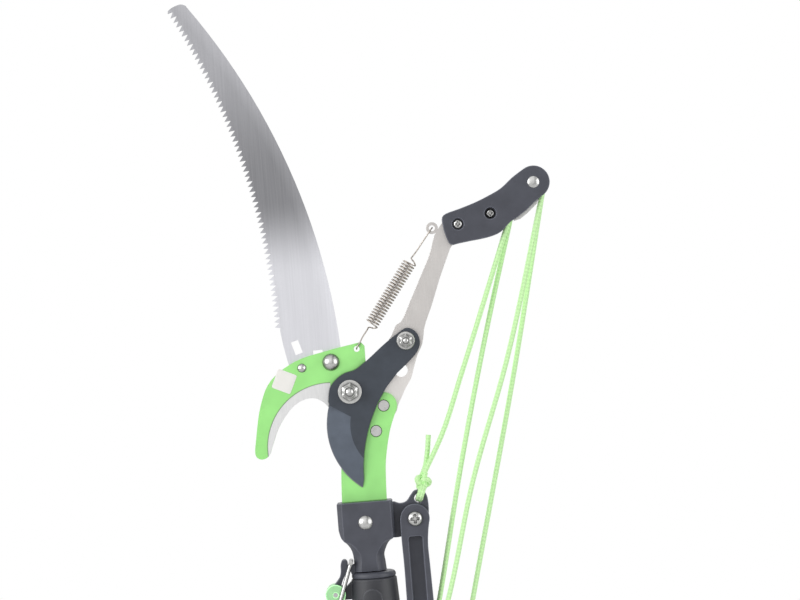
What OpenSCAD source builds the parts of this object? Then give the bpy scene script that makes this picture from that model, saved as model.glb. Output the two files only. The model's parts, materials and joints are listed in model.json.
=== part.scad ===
// Rope-operated bypass tree pruner with a pruning saw, on a telescopic pole.
// Millimetres. The pole stands along +Z, the head lies in the XZ plane and its front faces -Y.
// The origin is the centre of the hang hole in the butt end's cap.

/* [Pole] */
// Outside diameter of the upper tube
outer_tube_d = 32; // [30:0.5:36]
// Wall of the upper tube
outer_tube_wall = 1.5; // [1:0.1:1.6]
// Length of the upper tube
outer_tube_len = 466; // [440:1:600]
// Outside diameter of the lower tube
inner_tube_d = 28; // [25:0.5:28]
// Wall of the lower tube
inner_tube_wall = 1.5; // [1:0.1:2]
// Length of the lower tube
inner_tube_len = 739; // [640:1:900]
// Room left above the lower tube when the pole is closed up
closed_gap = 25; // [5:1:60]
// Outside diameter of the hand grip
grip_d = 34; // [32:0.5:38]
// Length of the hand grip
grip_len = 170; // [120:1:200]
// Diameter of the hang hole
hang_hole_d = 8; // [5:0.5:10]
// Outside diameter of the twist lock
lock_d = 43; // [42:0.5:48]
// Length of the twist lock's turning sleeve
lock_len = 34; // [30:1:50]

/* [Head plate and saw] */
// Thickness of the hook plate
plate_t = 4; // [3:0.1:5]
// Depth of the ground land on the hook
land_depth = 0.25; // [0.1:0.05:0.5]
// Thickness of the saw blade
saw_t = 1.6; // [1.2:0.1:2]
// Distance between saw teeth
tooth_pitch = 4.5; // [3.5:0.1:6]
// Height of a saw tooth
tooth_h = 5; // [2:0.1:6]
// Thread of the saw's clamping bolt
saw_bolt_d = 8; // [6:0.5:8]
// Diameter of the saw's locating pin
saw_pin_d = 5; // [4:0.5:6]

/* [Cutting blade] */
// Thickness of the cutting blade
blade_t = 3.2; // [2.5:0.1:4]
// Width of the blade's bevel
bevel_w = 20; // [12:1:22]
// Steel left at the cutting edge
edge_t = 0.4; // [0.3:0.1:0.8]
// Diameter of the main pivot bolt
pivot_d = 10; // [8:0.5:10]
// Diameter of the pin that drives the blade
drive_d = 8; // [6:0.5:8]

/* [Lever] */
// Thickness of the lever
lever_t = 3; // [2.5:0.1:4]
// Diameter of the roller in the lever's slot
bush_d = 10.4; // [10:0.1:11]
// Diameter of the two flush rivets
rivet_d = 9; // [7:0.5:9]
// Turn of the lever from open to closed, in degrees
lever_turn = 80; // [70:1:80]
// Turn of the blade from open to closed, in degrees
blade_turn = 62; // [55:1:62]

/* [Return spring] */
// Outside diameter of the spring
spring_d = 12; // [10:0.5:13]
// Diameter of the spring wire
wire_d = 1.2; // [0.9:0.1:1.4]
// Curls in the spring
spring_curls = 24; // [16:1:26]

/* [Rope and pulleys] */
// Diameter of the rope
rope_d = 4.2; // [3.5:0.1:4.4]
// Radius of the rope's centre line on the upper sheaves
sheave_r = 9.8; // [9.2:0.1:9.9]
// Width of an upper sheave
sheave_w = 6; // [5.6:0.1:7]
// Diameter of the upper sheaves' axle
axle_d = 6; // [5:0.5:8]
// Side wall of the pulley housing
housing_wall = 3.2; // [2.4:0.1:4]
// Radius of the rope's centre line on the lower sheave
low_sheave_r = 9.6; // [9.2:0.1:10.2]
// Diameter of the lower sheave's axle
low_axle_d = 5; // [4:0.5:6]
// Thickness of the pulley arm
arm_t = 10; // [8:0.5:10]
// Screw at the pulley arm's upper end to the lower sheave
arm_len = 142; // [120:1:160]

/* [Socket and latch] */
// Depth of the head's socket, front to back
socket_depth = 24; // [20:1:26]
// Thickness of the socket's ear
ear_t = 7; // [5:0.5:8]
// Diameter of the rope eye in the ear
eye_d = 7.8; // [7.4:0.1:8.4]
// Diameter of the socket's rivet
socket_rivet_d = 6; // [5:0.5:8]
// Diameter of the latch's wire bail
bail_d = 3.4; // [2.5:0.1:3.6]

/* [Pull handle] */
// Diameter of the pull handle's waist
handle_d = 20; // [16:0.5:22]
// Length of the pull handle
handle_len = 110; // [90:1:130]

/* [Fits] */
// Gap between flat faces that slide
run_gap = 0.2; // [0.1:0.05:0.4]
// Radial gap between a pin and its bore
pin_fit = 0.05; // [0.02:0.01:0.1]
// Radial gap between tubes and sleeves
tube_fit = 0.3; // [0.2:0.05:0.5]

/* [Hidden] */
$fn = 48;

// Colours as they show
green = "#86e52a";
black = "#23242a";
steel = "#b9bbbb";
zinc = "#c9cac8";
coated = "#34363d";
rope_green = "#63e63c";
alloy = "#c4c7ca";

// Layers through the head, front to back
plate_front = -plate_t / 2;
plate_back = plate_t / 2;
blade_back = plate_front - run_gap;
blade_front = blade_back - blade_t;
lever_front = plate_back + run_gap;
lever_back = lever_front + lever_t;
saw_back = plate_back + saw_t;
strap_t = 3;
strap_front = lever_back + run_gap;
strap_back = strap_front + strap_t;

// Places in the head as [x, height above the seam between head and collar]
pivot = [-8, 158];
lever_pivot = [19.5, 144];
neck_pivot = [11.5, 123];
drive_radius = 64;
drive_angle = 38;
drive = pivot + drive_radius * [cos(drive_angle), sin(drive_angle)];
saw_bolt_at = [-22, 184];
saw_pin_at = [-47, 181];
spring_plate_at = [0.5, 193.5];
spring_lever_at = [72, 290.5];
socket_rivet_at = [-3.4, 47.2];
arm_at = [38.5, 47.5];
eye_at = [43, 63.7];
axle_at = [160.3, 322.5];
screw_at = [[94, 292], [122, 299]];
latch_at = [-33.3, -12];
low_axle_at = [37.5, arm_at.y - arm_len];
handle_x = 30;
handle_top = -217;

// Fasteners
head_t = 4;
pivot_washer_d = 20;
pivot_washer_t = 1.5;
pivot_nut_d = 15;
pivot_nut_t = 7;
drive_flange_d = 15.6;
drive_nut_d = 11.5;
drive_nut_t = 6;
drive_head_d = 16;
ring_w = 0.8;
spring_hole_d = 5;

// Unit vector
function unit(v) = v / norm(v);

// Point at an angle on a circle
function polar(c, r, a) = c + r * [cos(a), sin(a)];

// Points on an arc from one angle to another
function arc(c, r, a0, a1, n) = [for (k = [0:n]) polar(c, r, a0 + (a1 - a0) * k / n)];

// Turn a plane vector
function turned(p, a) = [p.x * cos(a) - p.y * sin(a), p.x * sin(a) + p.y * cos(a)];

// One span of a curve that passes through its points
function span(a, b, c, d, u) = 0.5 * (2 * b + (c - a) * u + (2 * a - 5 * b + 4 * c - d) * u * u
    + (3 * b - a - 3 * c + d) * u * u * u);

// A smooth open curve through points, n steps to a span
function smooth(p, n = 5) = let (m = len(p) - 1) concat(
    [for (i = [0:m - 1]) for (k = [0:n - 1])
        span(p[max(i - 1, 0)], p[i], p[i + 1], p[min(i + 2, m)], k / n)], [p[m]]);

// Directions along a path
function tangents(p) = [for (i = [0:len(p) - 1]) unit(p[min(i + 1, len(p) - 1)] - p[max(i - 1, 0)])];

// Side vectors carried along a path without twist
function square_to(n, t) = unit(n - (n * t) * t);
function carried(t, i, n) = i == len(t) ? [] : let (s = square_to(n, t[i])) concat([s], carried(t, i + 1, s));

// Flat pieces of the head: outlines drawn as [x, z], from a back face forward
module slab(back, t) {
    for (i = [0:$children - 1]) translate([0, back, 0]) rotate([90, 0, 0]) linear_extrude(t) children(i);
}

// A cylinder along Y at [x, z], between two depths
module stud(at, front, back, d, sides = $fn) {
    translate([at.x, back, at.y]) rotate([90, 0, 0]) cylinder(h = back - front, d = d, $fn = sides);
}

// A revolved piece along Y at [x, z]: its profile is [radius, depth behind front]
module turned_on(at, front) {
    translate([at.x, front, at.y]) rotate([-90, 0, 0]) rotate_extrude() children();
}

// A low dome with a flat face, for rivet and bolt heads in front of a face
module dome(at, face, d, h) {
    ball_r = (d * d / 4 + h * h) / (2 * h);
    turned_on(at, face - h) intersection() {
        translate([0, ball_r]) circle(r = ball_r);
        square([d, h]);
    }
}

// The head, up at the seam on the pole
module head() {
    translate([0, 0, pole_len]) children();
}

// A round tube along a path, as one closed surface
module tube(path, r, sides) {
    t = tangents(path);
    n = carried(t, 0, [0.3, 0.9, 0.2]);
    rings = len(path);
    points = [for (i = [0:rings - 1]) for (k = [0:sides - 1])
        path[i] + r * (cos(360 * k / sides) * n[i] + sin(360 * k / sides) * cross(t[i], n[i]))];
    walls = [for (i = [0:rings - 2]) for (k = [0:sides - 1]) let (a = i * sides + k,
        b = i * sides + (k + 1) % sides) each [[a, a + sides, b + sides], [a, b + sides, b]]];
    last = (rings - 1) * sides;
    start_cap = [for (k = [1:sides - 2]) [0, k, k + 1]];
    end_cap_faces = [for (k = [1:sides - 2]) [last, last + k + 1, last + k]];
    polyhedron(points, concat(walls, start_cap, end_cap_faces));
}

// POLE

cap_drop = 14;
spigot_len = 38;
cap_top = 12;
grip_base = cap_top;
tube_base = -hang_hole_d / 2 - 4;
bush_rim = 6;
// Hang hole to the seam between head and collar, closed up
pole_len = tube_base + inner_tube_len + bush_rim + closed_gap + spigot_len;
lock_base = pole_len - outer_tube_len - lock_len + 4;
sleeve_len = 42;
neck_wall = 3;
neck_len = 24;
lock_top = lock_base + lock_len;
outer_tube_base = lock_top + run_gap;
outer_tube_bore = outer_tube_d - 2 * outer_tube_wall;
bush_wall_fit = 0.1;
bush_len = 24;

module end_cap() {
    cap_r = grip_d / 2 - 0.5;
    plug_r = inner_tube_d / 2 - inner_tube_wall;
    color(black) difference() {
        rotate_extrude() polygon(concat([[0, -cap_drop], [cap_r - 4, -cap_drop]],
            arc([cap_r - 4, 4 - cap_drop], 4, -90, 0, 6),
            [[cap_r, cap_top], [inner_tube_d / 2, cap_top], [inner_tube_d / 2, tube_base],
            [plug_r, tube_base], [plug_r, cap_top], [0, cap_top]]));
        rotate([90, 0, 0]) cylinder(h = 2 * grip_d, d = hang_hole_d, center = true);
    }
}

module grip_sleeve() {
    groove_n = 9;
    groove_pitch = grip_len / (groove_n + 1);
    color(black) difference() {
        translate([0, 0, grip_base]) cylinder(h = grip_len, d = grip_d);
        translate([0, 0, grip_base - 1]) cylinder(h = grip_len + 2, d = inner_tube_d);
        for (i = [1:groove_n]) translate([0, 0, grip_base + i * groove_pitch])
            rotate_extrude() translate([grip_d / 2 + 1, 0]) circle(r = 2, $fn = 24);
    }
}

module inner_tube() {
    color(alloy) difference() {
        translate([0, 0, tube_base]) cylinder(h = inner_tube_len, d = inner_tube_d);
        translate([0, 0, tube_base - 1])
            cylinder(h = inner_tube_len + 2, d = inner_tube_d - 2 * inner_tube_wall);
        rotate([90, 0, 0]) cylinder(h = 2 * grip_d, d = hang_hole_d, center = true);
    }
}

module guide_bush() {
    rim = outer_tube_bore / 2 - bush_wall_fit;
    top = tube_base + inner_tube_len;
    plug_r = inner_tube_d / 2 - inner_tube_wall;
    color(black) rotate_extrude() polygon([[plug_r - 2, top - bush_len], [plug_r, top - bush_len],
        [plug_r, top], [rim, top], [rim, top + bush_rim], [plug_r - 2, top + bush_rim]]);
}

module lock_body() {
    sleeve_r = outer_tube_d / 2 + 3;
    neck_bore = inner_tube_d / 2 + tube_fit;
    neck_r = neck_bore + neck_wall;
    color(black) rotate_extrude() polygon([[neck_bore, lock_top - neck_len], [neck_r, lock_top - neck_len],
        [neck_r, lock_top + run_gap - 4], [sleeve_r, lock_top + run_gap],
        [sleeve_r, outer_tube_base + sleeve_len - 3], [sleeve_r - 1.5, outer_tube_base + sleeve_len],
        [outer_tube_d / 2, outer_tube_base + sleeve_len],
        [outer_tube_d / 2, outer_tube_base], [neck_bore, outer_tube_base]]);
}

module lock_collar() {
    flutes = 12;
    inner_r = inner_tube_d / 2 + 2 * tube_fit;
    neck_r = inner_tube_d / 2 + tube_fit + neck_wall + pin_fit;
    floor_z = lock_top - neck_len - run_gap;
    color(black) difference() {
        rotate_extrude() polygon([[inner_r, lock_base], [lock_d / 2 - 4, lock_base],
            [lock_d / 2, lock_base + 5], [lock_d / 2, lock_top - 8], [neck_r + 1.5, lock_top - 4.5],
            [neck_r, lock_top - 4.5],
            [neck_r, floor_z], [inner_r, floor_z]]);
        for (i = [0:flutes - 1]) rotate([0, 0, i * 360 / flutes])
            translate([lock_d / 2 + 1.5, 0, lock_base - 1]) cylinder(h = lock_len + 2, r = 2.5, $fn = 24);
    }
}

module outer_tube() {
    color(black) difference() {
        translate([0, 0, outer_tube_base]) cylinder(h = outer_tube_len - 5, d = outer_tube_d);
        translate([0, 0, outer_tube_base - 1]) cylinder(h = outer_tube_len, d = outer_tube_bore);
    }
}

// COLLAR AND LATCH

collar_len = 64;
collar_r = 19.2;
collar_wide_r = 20.2;
latch_ear_r = 5;
latch_ear_t = 8;
latch_pin_d = 4;
hub_r = 8.5;
hub_w = 18;

module tube_collar() {
    bore_r = outer_tube_d / 2;
    arch_x = -2.2;
    arch_r = 8;
    arch_rise = 1.2;
    tube_top = outer_tube_base + outer_tube_len - 5 - pole_len;
    spigot_r = outer_tube_bore / 2 - bush_wall_fit;
    color(black) head() difference() {
        union() {
            rotate_extrude() polygon([[spigot_r, 0], [collar_r - 1, 0], [collar_r, -1], [collar_wide_r, -20],
                [collar_wide_r, 14 - collar_len], [bore_r + 2, -collar_len], [bore_r, -collar_len],
                [bore_r, tube_top], [spigot_r, tube_top]]);
            intersection() {
                slab(0, 2 * collar_wide_r) {
                    translate([arch_x, -8.4 - arch_r]) circle(r = arch_r);
                    translate([arch_x - arch_r, 16 - collar_len])
                        square([2 * arch_r, collar_len - 24.4 - arch_r]);
                }
                translate([0, 0, -collar_len]) difference() {
                    cylinder(h = collar_len, r = collar_wide_r + arch_rise);
                    translate([0, 0, -1]) cylinder(h = collar_len + 2, r = collar_r - 1);
                }
            }
            slab(latch_ear_t / 2, latch_ear_t) {
                translate(latch_at) circle(r = latch_ear_r);
                translate([latch_at.x, latch_at.y - latch_ear_r])
                    square([-latch_at.x - collar_r + 1, 2 * latch_ear_r]);
                polygon([[latch_at.x + hub_r + run_gap, latch_at.y + latch_ear_r], [1 - collar_r, -1],
                    [1 - collar_r, latch_at.y]]);
            }
        }
        stud(latch_at, -latch_ear_t, latch_ear_t, latch_pin_d);
    }
}

module latch_pin() {
    color(zinc) head() stud(latch_at, -hub_w / 2, hub_w / 2, latch_pin_d);
}

module latch_hub() {
    fork = latch_ear_t + 2 * run_gap;
    slot_r = latch_ear_r + 0.5;
    color(green) head() difference() {
        stud(latch_at, -hub_w / 2, hub_w / 2, 2 * hub_r);
        slab(fork / 2, fork) {
            translate(latch_at) circle(r = slot_r);
            translate([latch_at.x, latch_at.y]) square([2 * hub_r, slot_r]);
            translate([latch_at.x - slot_r, latch_at.y - 2 * hub_r]) square([2 * hub_r + slot_r, 2 * hub_r]);
        }
        stud(latch_at, -hub_w, hub_w, latch_pin_d + 2 * pin_fit);
        for (s = [-1, 1]) bail_leg(s);
    }
}

// Wire bail: two legs let into the hub and a thicker bar that hooks over the head's flange
bail_bar_at = [-18.4, 14.2];
bail_foot_at = [-29.5, -17];
bail_y = hub_w / 2;

module bail_leg(side) {
    foot = [bail_foot_at.x, side * bail_y, bail_foot_at.y];
    rise = [bail_bar_at.x - bail_foot_at.x, bail_bar_at.y - bail_foot_at.y];
    translate(foot) rotate([0, atan2(rise.x, rise.y), 0]) cylinder(h = norm(rise), d = bail_d);
}

module latch_bail() {
    bar_end = bail_y + bail_d / 2 + 0.3;
    color(zinc) head() {
        for (s = [-1, 1]) bail_leg(s);
        stud(bail_bar_at, -bar_end, bar_end, bail_d + 0.4);
    }
}

module latch_grip() {
    grip_w = 9;
    color(black) head() difference() {
        slab(grip_w / 2, grip_w) polygon(smooth([[-33.5, -3.6], [-30, 0.5], [-28.6, 3], [-27.6, 7],
            [-27.2, 13], [-25.6, 16.2], [-23, 16.6], [-21.4, 14], [-21.8, 8], [-24.4, 3], [-26.4, -0.5],
            [-28, -4.8]]));
        stud(latch_at, -hub_w, hub_w, 2 * hub_r);
    }
}

// ROPE'S PULL HANDLE

clip_wall = 3;
clip_h = 18;
clip_drop = 55;

module pull_handle() {
    waist = handle_d / 2;
    bulge = waist + 3;
    bore = rope_d / 2 + tube_fit;
    base = handle_top - handle_len;
    color(black) head() translate([handle_x, 0, 0]) rotate_extrude() polygon(concat(
        [[bore, base], [waist - 1, base]],
        smooth([[waist + 1, base + 2], [bulge, base + 12], [waist, handle_top - clip_drop - clip_h]]),
        [[waist, handle_top - clip_drop + clip_h]],
        smooth([[waist + 1.5, handle_top - 16], [waist - 1, handle_top - 3], [waist - 4, handle_top]]),
        [[bore + 3, handle_top], [bore, handle_top - 8]]));
}

module handle_clip() {
    mid = handle_top - clip_drop;
    band_r = outer_tube_d / 2 + clip_wall;
    hold_r = handle_d / 2 + 0.1;
    color(black) head() translate([0, 0, mid - clip_h / 2]) difference() {
        union() {
            cylinder(h = clip_h, r = band_r);
            translate([handle_x, 0, 0]) cylinder(h = clip_h, r = hold_r + clip_wall);
            translate([0, -4, 0]) cube([handle_x - hold_r, 8, clip_h]);
        }
        translate([0, 0, -1]) cylinder(h = clip_h + 2, d = outer_tube_d);
        translate([handle_x, 0, -1]) cylinder(h = clip_h + 2, r = hold_r);
        translate([handle_x, 0, -1]) linear_extrude(clip_h + 2)
            polygon([[0, 0], [2 * hold_r, 1.4 * hold_r], [2 * hold_r, -1.4 * hold_r]]);
    }
}

// SOCKET

flange_r = 18.7;
flange_h = 5.2;
stem_x = -2.8;
stem_r = 13.6;
lug_w = 10;
socket_left = -26.6;
socket_right = 20.5;
socket_top = 64.5;
tang_left = -22;
tang_right = 16;
tang_base = 34;

module socket() {
    lug_top = bail_bar_at.y - bail_d / 2 - 0.2 - tube_fit;
    spigot_r = outer_tube_bore / 2 - bush_wall_fit;
    half = socket_depth / 2;
    edge = 4;
    color(black) head() difference() {
        union() {
            intersection() {
                slab(half, socket_depth) polygon(concat(
                    smooth([[14, 6], [11.6, 11.3], [10.3, 17], [11, 21.9], [14.4, 28.6], [18.4, 32],
                        [socket_right, 35]]),
                    [[socket_right, socket_top - 1], [socket_right - 1, socket_top],
                    [socket_left + 1, socket_top], [socket_left, socket_top - 1]],
                    smooth([[socket_left, 42], [-24.8, 35.3], [-20.2, 29.6], [-17, 24.2], [-15.7, 16],
                        [-16.5, 6]])));
                linear_extrude(socket_top + edge) polygon([[socket_left + edge, -half],
                    [socket_right - 2, -half], [socket_right, 2 - half], [socket_right, half - 2],
                    [socket_right - 2, half], [socket_left + edge, half], [socket_left, half - edge],
                    [socket_left, edge - half]]);
                translate([stem_x, 0, 0]) rotate_extrude() polygon(concat([[0, 0], [stem_r + 1, 0]],
                    smooth([[stem_r, 14], [stem_r + 0.4, 21], [stem_r + 3.8, 28.6], [stem_r + 9, 32],
                        [stem_r + 22, 36]]),
                    [[2 * socket_top, socket_top], [2 * socket_top, 2 * socket_top], [0, 2 * socket_top]]));
            }
            slab(lug_w / 2, lug_w) polygon([[stem_x, 2], [1 - flange_r, 2], [bail_bar_at.x - 1.4, 8],
                [bail_bar_at.x - 1.2, lug_top - 1], [bail_bar_at.x - 0.2, lug_top], [stem_x, lug_top]]);
            rotate_extrude() polygon(concat([[0, 0]], arc([flange_r - 1.5, 1.5], 1.5, -90, 0, 4),
                arc([flange_r - 3, flange_h - 3], 3, 0, 90, 6), [[0, flange_h]]));
            translate([0, 0, -spigot_len]) cylinder(h = spigot_len + 1, r = spigot_r);
            slab(ear_t / 2, ear_t) polygon(concat([[socket_right - 3, 62]],
                smooth([[socket_right - 3, 32.4], [25, 32.4], [37, 35.4], [48, 40], [50.6, 52], [50.2, 64.5],
                [46, 70.3], [40, 70.4], [36.4, 67], [32.4, 62], [27, 60.6], [22, 62.4]])));
        }
        slab(plate_back, plate_t) translate([tang_left, tang_base])
            square([tang_right - tang_left, socket_top]);
        stud(socket_rivet_at, -socket_depth, socket_depth, socket_rivet_d);
        stud(eye_at, -ear_t, ear_t, eye_d);
        stud(arm_at, -ear_t, ear_t, arm_screw_d);
    }
}

module socket_rivet() {
    half = socket_depth / 2;
    color(zinc) head() {
        dome(socket_rivet_at, -half, 12, 2.6);
        stud(socket_rivet_at, -half, half, socket_rivet_d);
        mirror([0, 1, 0]) dome(socket_rivet_at, -half, 12, 2.6);
    }
}

// HOOK PLATE AND SAW

plate_edge = [[4.4, 199], [-24, 194], [-52, 187], [-74, 172.4], [-84.5, 151], [-90.4, 123], [-91.8, 111.5],
    [-89, 107.2], [-84, 106.8], [-79.4, 110.4], [-76, 119], [-68.5, 135], [-55, 150.4], [-40, 155],
    [-28, 147.6], [-20.5, 130], [-19.6, 108], [-21.2, 82], [tang_left, 66]];
plate_right = [[tang_right, 66], [16.6, 82], [18, 99], [23, 122], [30, 140]];
plate_throat = [[19, 154.5], [11, 160], [7.6, 170], [7.2, 182], [7.3, 195.5]];
plate_boss_r = 11.2;
land_at = [-26.8, 112.6];
land_r = 54.4;

module hook_plate() {
    color(green) head() difference() {
        slab(plate_back, plate_t) {
            polygon(concat(smooth(plate_edge), [[tang_left, tang_base], [tang_right, tang_base]],
                smooth(plate_right), [lever_pivot + [6, 3]], smooth(plate_throat)));
            translate(lever_pivot) circle(r = plate_boss_r);
        }
        slab(plate_front + land_depth, plate_t) intersection() {
            translate(land_at) circle(r = land_r);
            translate([-100, 100]) square([76, 75]);
        }
        stud(pivot, -plate_t, plate_t, pivot_d);
        stud(saw_bolt_at, -plate_t, plate_t, saw_bolt_d);
        stud(saw_pin_at, -plate_t, plate_t, saw_pin_d);
        stud(spring_plate_at, -plate_t, plate_t, spring_hole_d);
        stud(socket_rivet_at, -plate_t, plate_t, socket_rivet_d);
        for (at = [lever_pivot, neck_pivot]) {
            stud(at, -plate_t, plate_t, rivet_d);
            turned_on(at, plate_front) polygon([[0, -1], [rivet_d / 2 + ring_w, -1],
                [rivet_d / 2 + ring_w, 0], [rivet_d / 2, ring_w], [0, ring_w]]);
        }
    }
}

// Both of the saw's arcs start at the plate and run on for their own length
tooth_heel = [-67.5, 216];
tooth_arc_r = 579.5;
tooth_run = 283.7;
tooth_from = 0.2;
tooth_to = tooth_from + tooth_run / tooth_arc_r * 180 / PI;
tooth_arc_at = polar(tooth_heel, -tooth_arc_r, tooth_from);
back_heel = [-13.1, 197.2];
back_arc_r = 560;
back_run = 318.6;
back_from = 3.6;
back_to = back_from + back_run / back_arc_r * 180 / PI;
back_arc_at = polar(back_heel, -back_arc_r, back_from);

module saw_blade() {
    step = tooth_pitch / tooth_arc_r * 180 / PI;
    teeth = floor((tooth_to - tooth_from) / step);
    lean = 0.2;
    root = tooth_arc_r + tooth_h;
    raker_rise = tooth_h / 5;
    back_end = polar(back_arc_at, back_arc_r, back_to);
    last = tooth_from + teeth * step;
    tip = polar(tooth_arc_at, tooth_arc_r, last + step * lean);
    tip_width = tip - back_end;
    color(steel) head() difference() {
        slab(saw_back, saw_t) polygon(concat(
            arc(back_arc_at, back_arc_r, back_from, back_to, 24),
            smooth([for (p = [[0.06, 1.9], [0.24, 4], [0.44, 4.7], [0.77, 4], [0.98, 2.3]])
                back_end + p.x * tip_width + [0, p.y]]),
            [tip, polar(tooth_arc_at, root - teeth % 2 * raker_rise, last)],
            [for (i = [teeth - 1:-1:0]) let (a = tooth_from + i * step) each [
                polar(tooth_arc_at, root - (i + 1) % 2 * raker_rise, a + step * 0.9),
                polar(tooth_arc_at, tooth_arc_r, a + step * lean),
                polar(tooth_arc_at, root - i % 2 * raker_rise, a)]],
            smooth([[-63, 214], [-61, 200], [-58, 185], [-54, 171]]), [[-20, 170], [-14.5, 182]]));
        stud(saw_bolt_at, 0, 2 * saw_back, saw_bolt_d);
        stud(saw_pin_at, 0, 2 * saw_back, saw_pin_d);
        slab(saw_back + 1, saw_t + 2) translate([-50, 198.6]) rotate(17) square([6.4, 11.4], center = true);
        slab(saw_back + 1, saw_t + 2) translate([-36.5, 176]) square([8, 19]);
    }
}

module saw_bolt() {
    color(zinc) head() {
        dome(saw_bolt_at, plate_front, 14.4, 4.4);
        stud(saw_bolt_at, plate_front, saw_back + 9, saw_bolt_d);
    }
}

module saw_nut() {
    color(zinc) head() difference() {
        union() {
            stud(saw_bolt_at, saw_back, saw_back + 1.5, 17);
            stud(saw_bolt_at, saw_back, saw_back + 7.5, 15, 6);
        }
        stud(saw_bolt_at, 0, saw_back + 10, saw_bolt_d);
    }
}

module saw_pin() {
    color(zinc) head() {
        dome(saw_pin_at, plate_front, 7.6, 2);
        stud(saw_pin_at, plate_front, saw_back, saw_pin_d);
        mirror([0, 1, 0]) dome(saw_pin_at, -saw_back, 8, 1.6);
    }
}

// CUTTING BLADE

edge_arc_at = [32.7, 127.4];
edge_arc_r = 62.6;
spine_arc_at = [126, 83.2];
spine_arc_r = 128;

module cutting_blade() {
    bevel_in = edge_arc_r - bevel_w;
    bevel_out = edge_arc_r + 6;
    slope = (blade_t - edge_t) / bevel_w;
    color(coated) head() difference() {
        slab(blade_back, blade_t) polygon(concat(
            arc(spine_arc_at, spine_arc_r, 180, 143, 12),
            smooth([[33.5, 171], [42.4, 178.4], [51, 187], [54.3, 195.5], [51.5, 204], [44, 208], [35, 203.3],
                [24, 195.8], [8, 183], [-2.5, 176], [-11.5, 173.7], [-19.2, 168.8], [-24.6, 162],
                [-26.7, 151]]),
            arc(edge_arc_at, edge_arc_r, 160, 234.6, 24)));
        intersection() {
            turned_on(edge_arc_at, blade_front) polygon([[bevel_in, -1], [bevel_out, -1],
                [bevel_out, slope * (bevel_out - bevel_in)], [bevel_in, 0]]);
            slab(plate_t, 5 * plate_t) polygon([[-45, 159.5], [-8, 136.5], [6, 128], [6, 60], [-45, 60]]);
        }
        stud(pivot, 2 * blade_front, 0, pivot_d + 2 * pin_fit);
        stud(drive, 2 * blade_front, 0, drive_d);
    }
}

module pivot_bolt() {
    color(zinc) head() {
        stud(pivot, pivot_front - pivot_nut_t - 1.5, plate_back, pivot_d);
        stud(pivot, plate_back, plate_back + head_t, 15, 6);
    }
}

pivot_front = blade_front - run_gap - pivot_washer_t;

module pivot_washer() {
    color(zinc) head() difference() {
        stud(pivot, pivot_front, pivot_front + pivot_washer_t, pivot_washer_d);
        stud(pivot, 2 * pivot_front, 0, pivot_d);
    }
}

module pivot_nut() {
    color(zinc) head() difference() {
        stud(pivot, pivot_front - pivot_nut_t, pivot_front, pivot_nut_d, 6);
        stud(pivot, 4 * pivot_front, 0, pivot_d);
    }
}

module drive_pin() {
    color(zinc) head() {
        stud(drive, blade_front - drive_nut_t - 1.2, lever_back + run_gap, drive_d);
        stud(drive, lever_back + run_gap, lever_back + run_gap + head_t, drive_head_d);
    }
}

module drive_bush() {
    color(zinc) head() difference() {
        stud(drive, blade_back, lever_back + run_gap, bush_d);
        stud(drive, 2 * blade_front, 2 * lever_back, drive_d);
    }
}

module drive_nut() {
    color(zinc) head() difference() {
        union() {
            stud(drive, blade_front - 1.2, blade_front, drive_flange_d);
            stud(drive, blade_front - drive_nut_t, blade_front, drive_nut_d, 6);
        }
        stud(drive, 4 * blade_front, 0, drive_d);
    }
}

// LEVER

lever_boss_r = 12;
lever_left = [[75, 287], [72.4, 281], [68, 268], [59, 250], [50, 232.6], [40.8, 215], [35, 210.6], [31, 203],
    [25.5, 195], [22.3, 185], [24, 172], [22, 160], [9.5, 149]];
lever_right = [[31.4, 142.5], [39, 156.8], [44.4, 165], [47.6, 174], [51.4, 184.4], [56.4, 194],
    [59.6, 208.6], [66.8, 225.6], [75.5, 248], [86, 272]];
lever_tongue = [[92, 280], [120, 284], [128, 289], [129, 303], [118, 307], [97, 301], [82, 295.6]];

// The drive pin's centre in the lever's own frame, when the share u of the stroke is done
function slot_at(u) = lever_pivot + turned(pivot + drive_radius * [cos(drive_angle - u * blade_turn),
    sin(drive_angle - u * blade_turn)] - lever_pivot, u * lever_turn);

module lever_slot() {
    half = bush_d / 2 + tube_fit;
    steps = 16;
    path = [for (k = [0:steps]) slot_at(k / steps)];
    ahead = tangents(path);
    side = [for (t = ahead) half * [-t.y, t.x]];
    polygon(concat([for (k = [0:steps]) path[k] + side[k]], [for (k = [steps:-1:0]) path[k] - side[k]]));
    for (end = [path[0], path[steps]]) translate(end) circle(r = half);
}

module lever_plate() {
    tab_r = 5;
    color(steel) head() difference() {
        slab(lever_back, lever_t) {
            polygon(concat(smooth(lever_left), smooth(lever_right), lever_tongue));
            translate(lever_pivot) circle(r = lever_boss_r);
            translate(spring_lever_at) circle(r = tab_r);
        }
        slab(lever_back + 1, lever_t + 2) lever_slot();
        stud(lever_pivot, 0, 2 * lever_back, rivet_d + 2 * pin_fit);
        stud(spring_lever_at, 0, 2 * lever_back, spring_hole_d);
        for (at = screw_at) stud(at, 0, 2 * lever_back, screw_d);
    }
}

module lever_rivet() {
    color(zinc) head() {
        stud(lever_pivot, plate_front, strap_back, rivet_d);
        mirror([0, 1, 0]) dome(lever_pivot, -strap_back, 14, 2.5);
    }
}

module neck_rivet() {
    color(zinc) head() {
        stud(neck_pivot, plate_front, strap_back, rivet_d);
        mirror([0, 1, 0]) dome(neck_pivot, -strap_back, 14, 2.5);
    }
}

module strap_spacer() {
    color(zinc) head() difference() {
        stud(neck_pivot, plate_back, strap_front, rivet_d + 5);
        stud(neck_pivot, 0, 2 * strap_front, rivet_d);
    }
}

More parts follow.
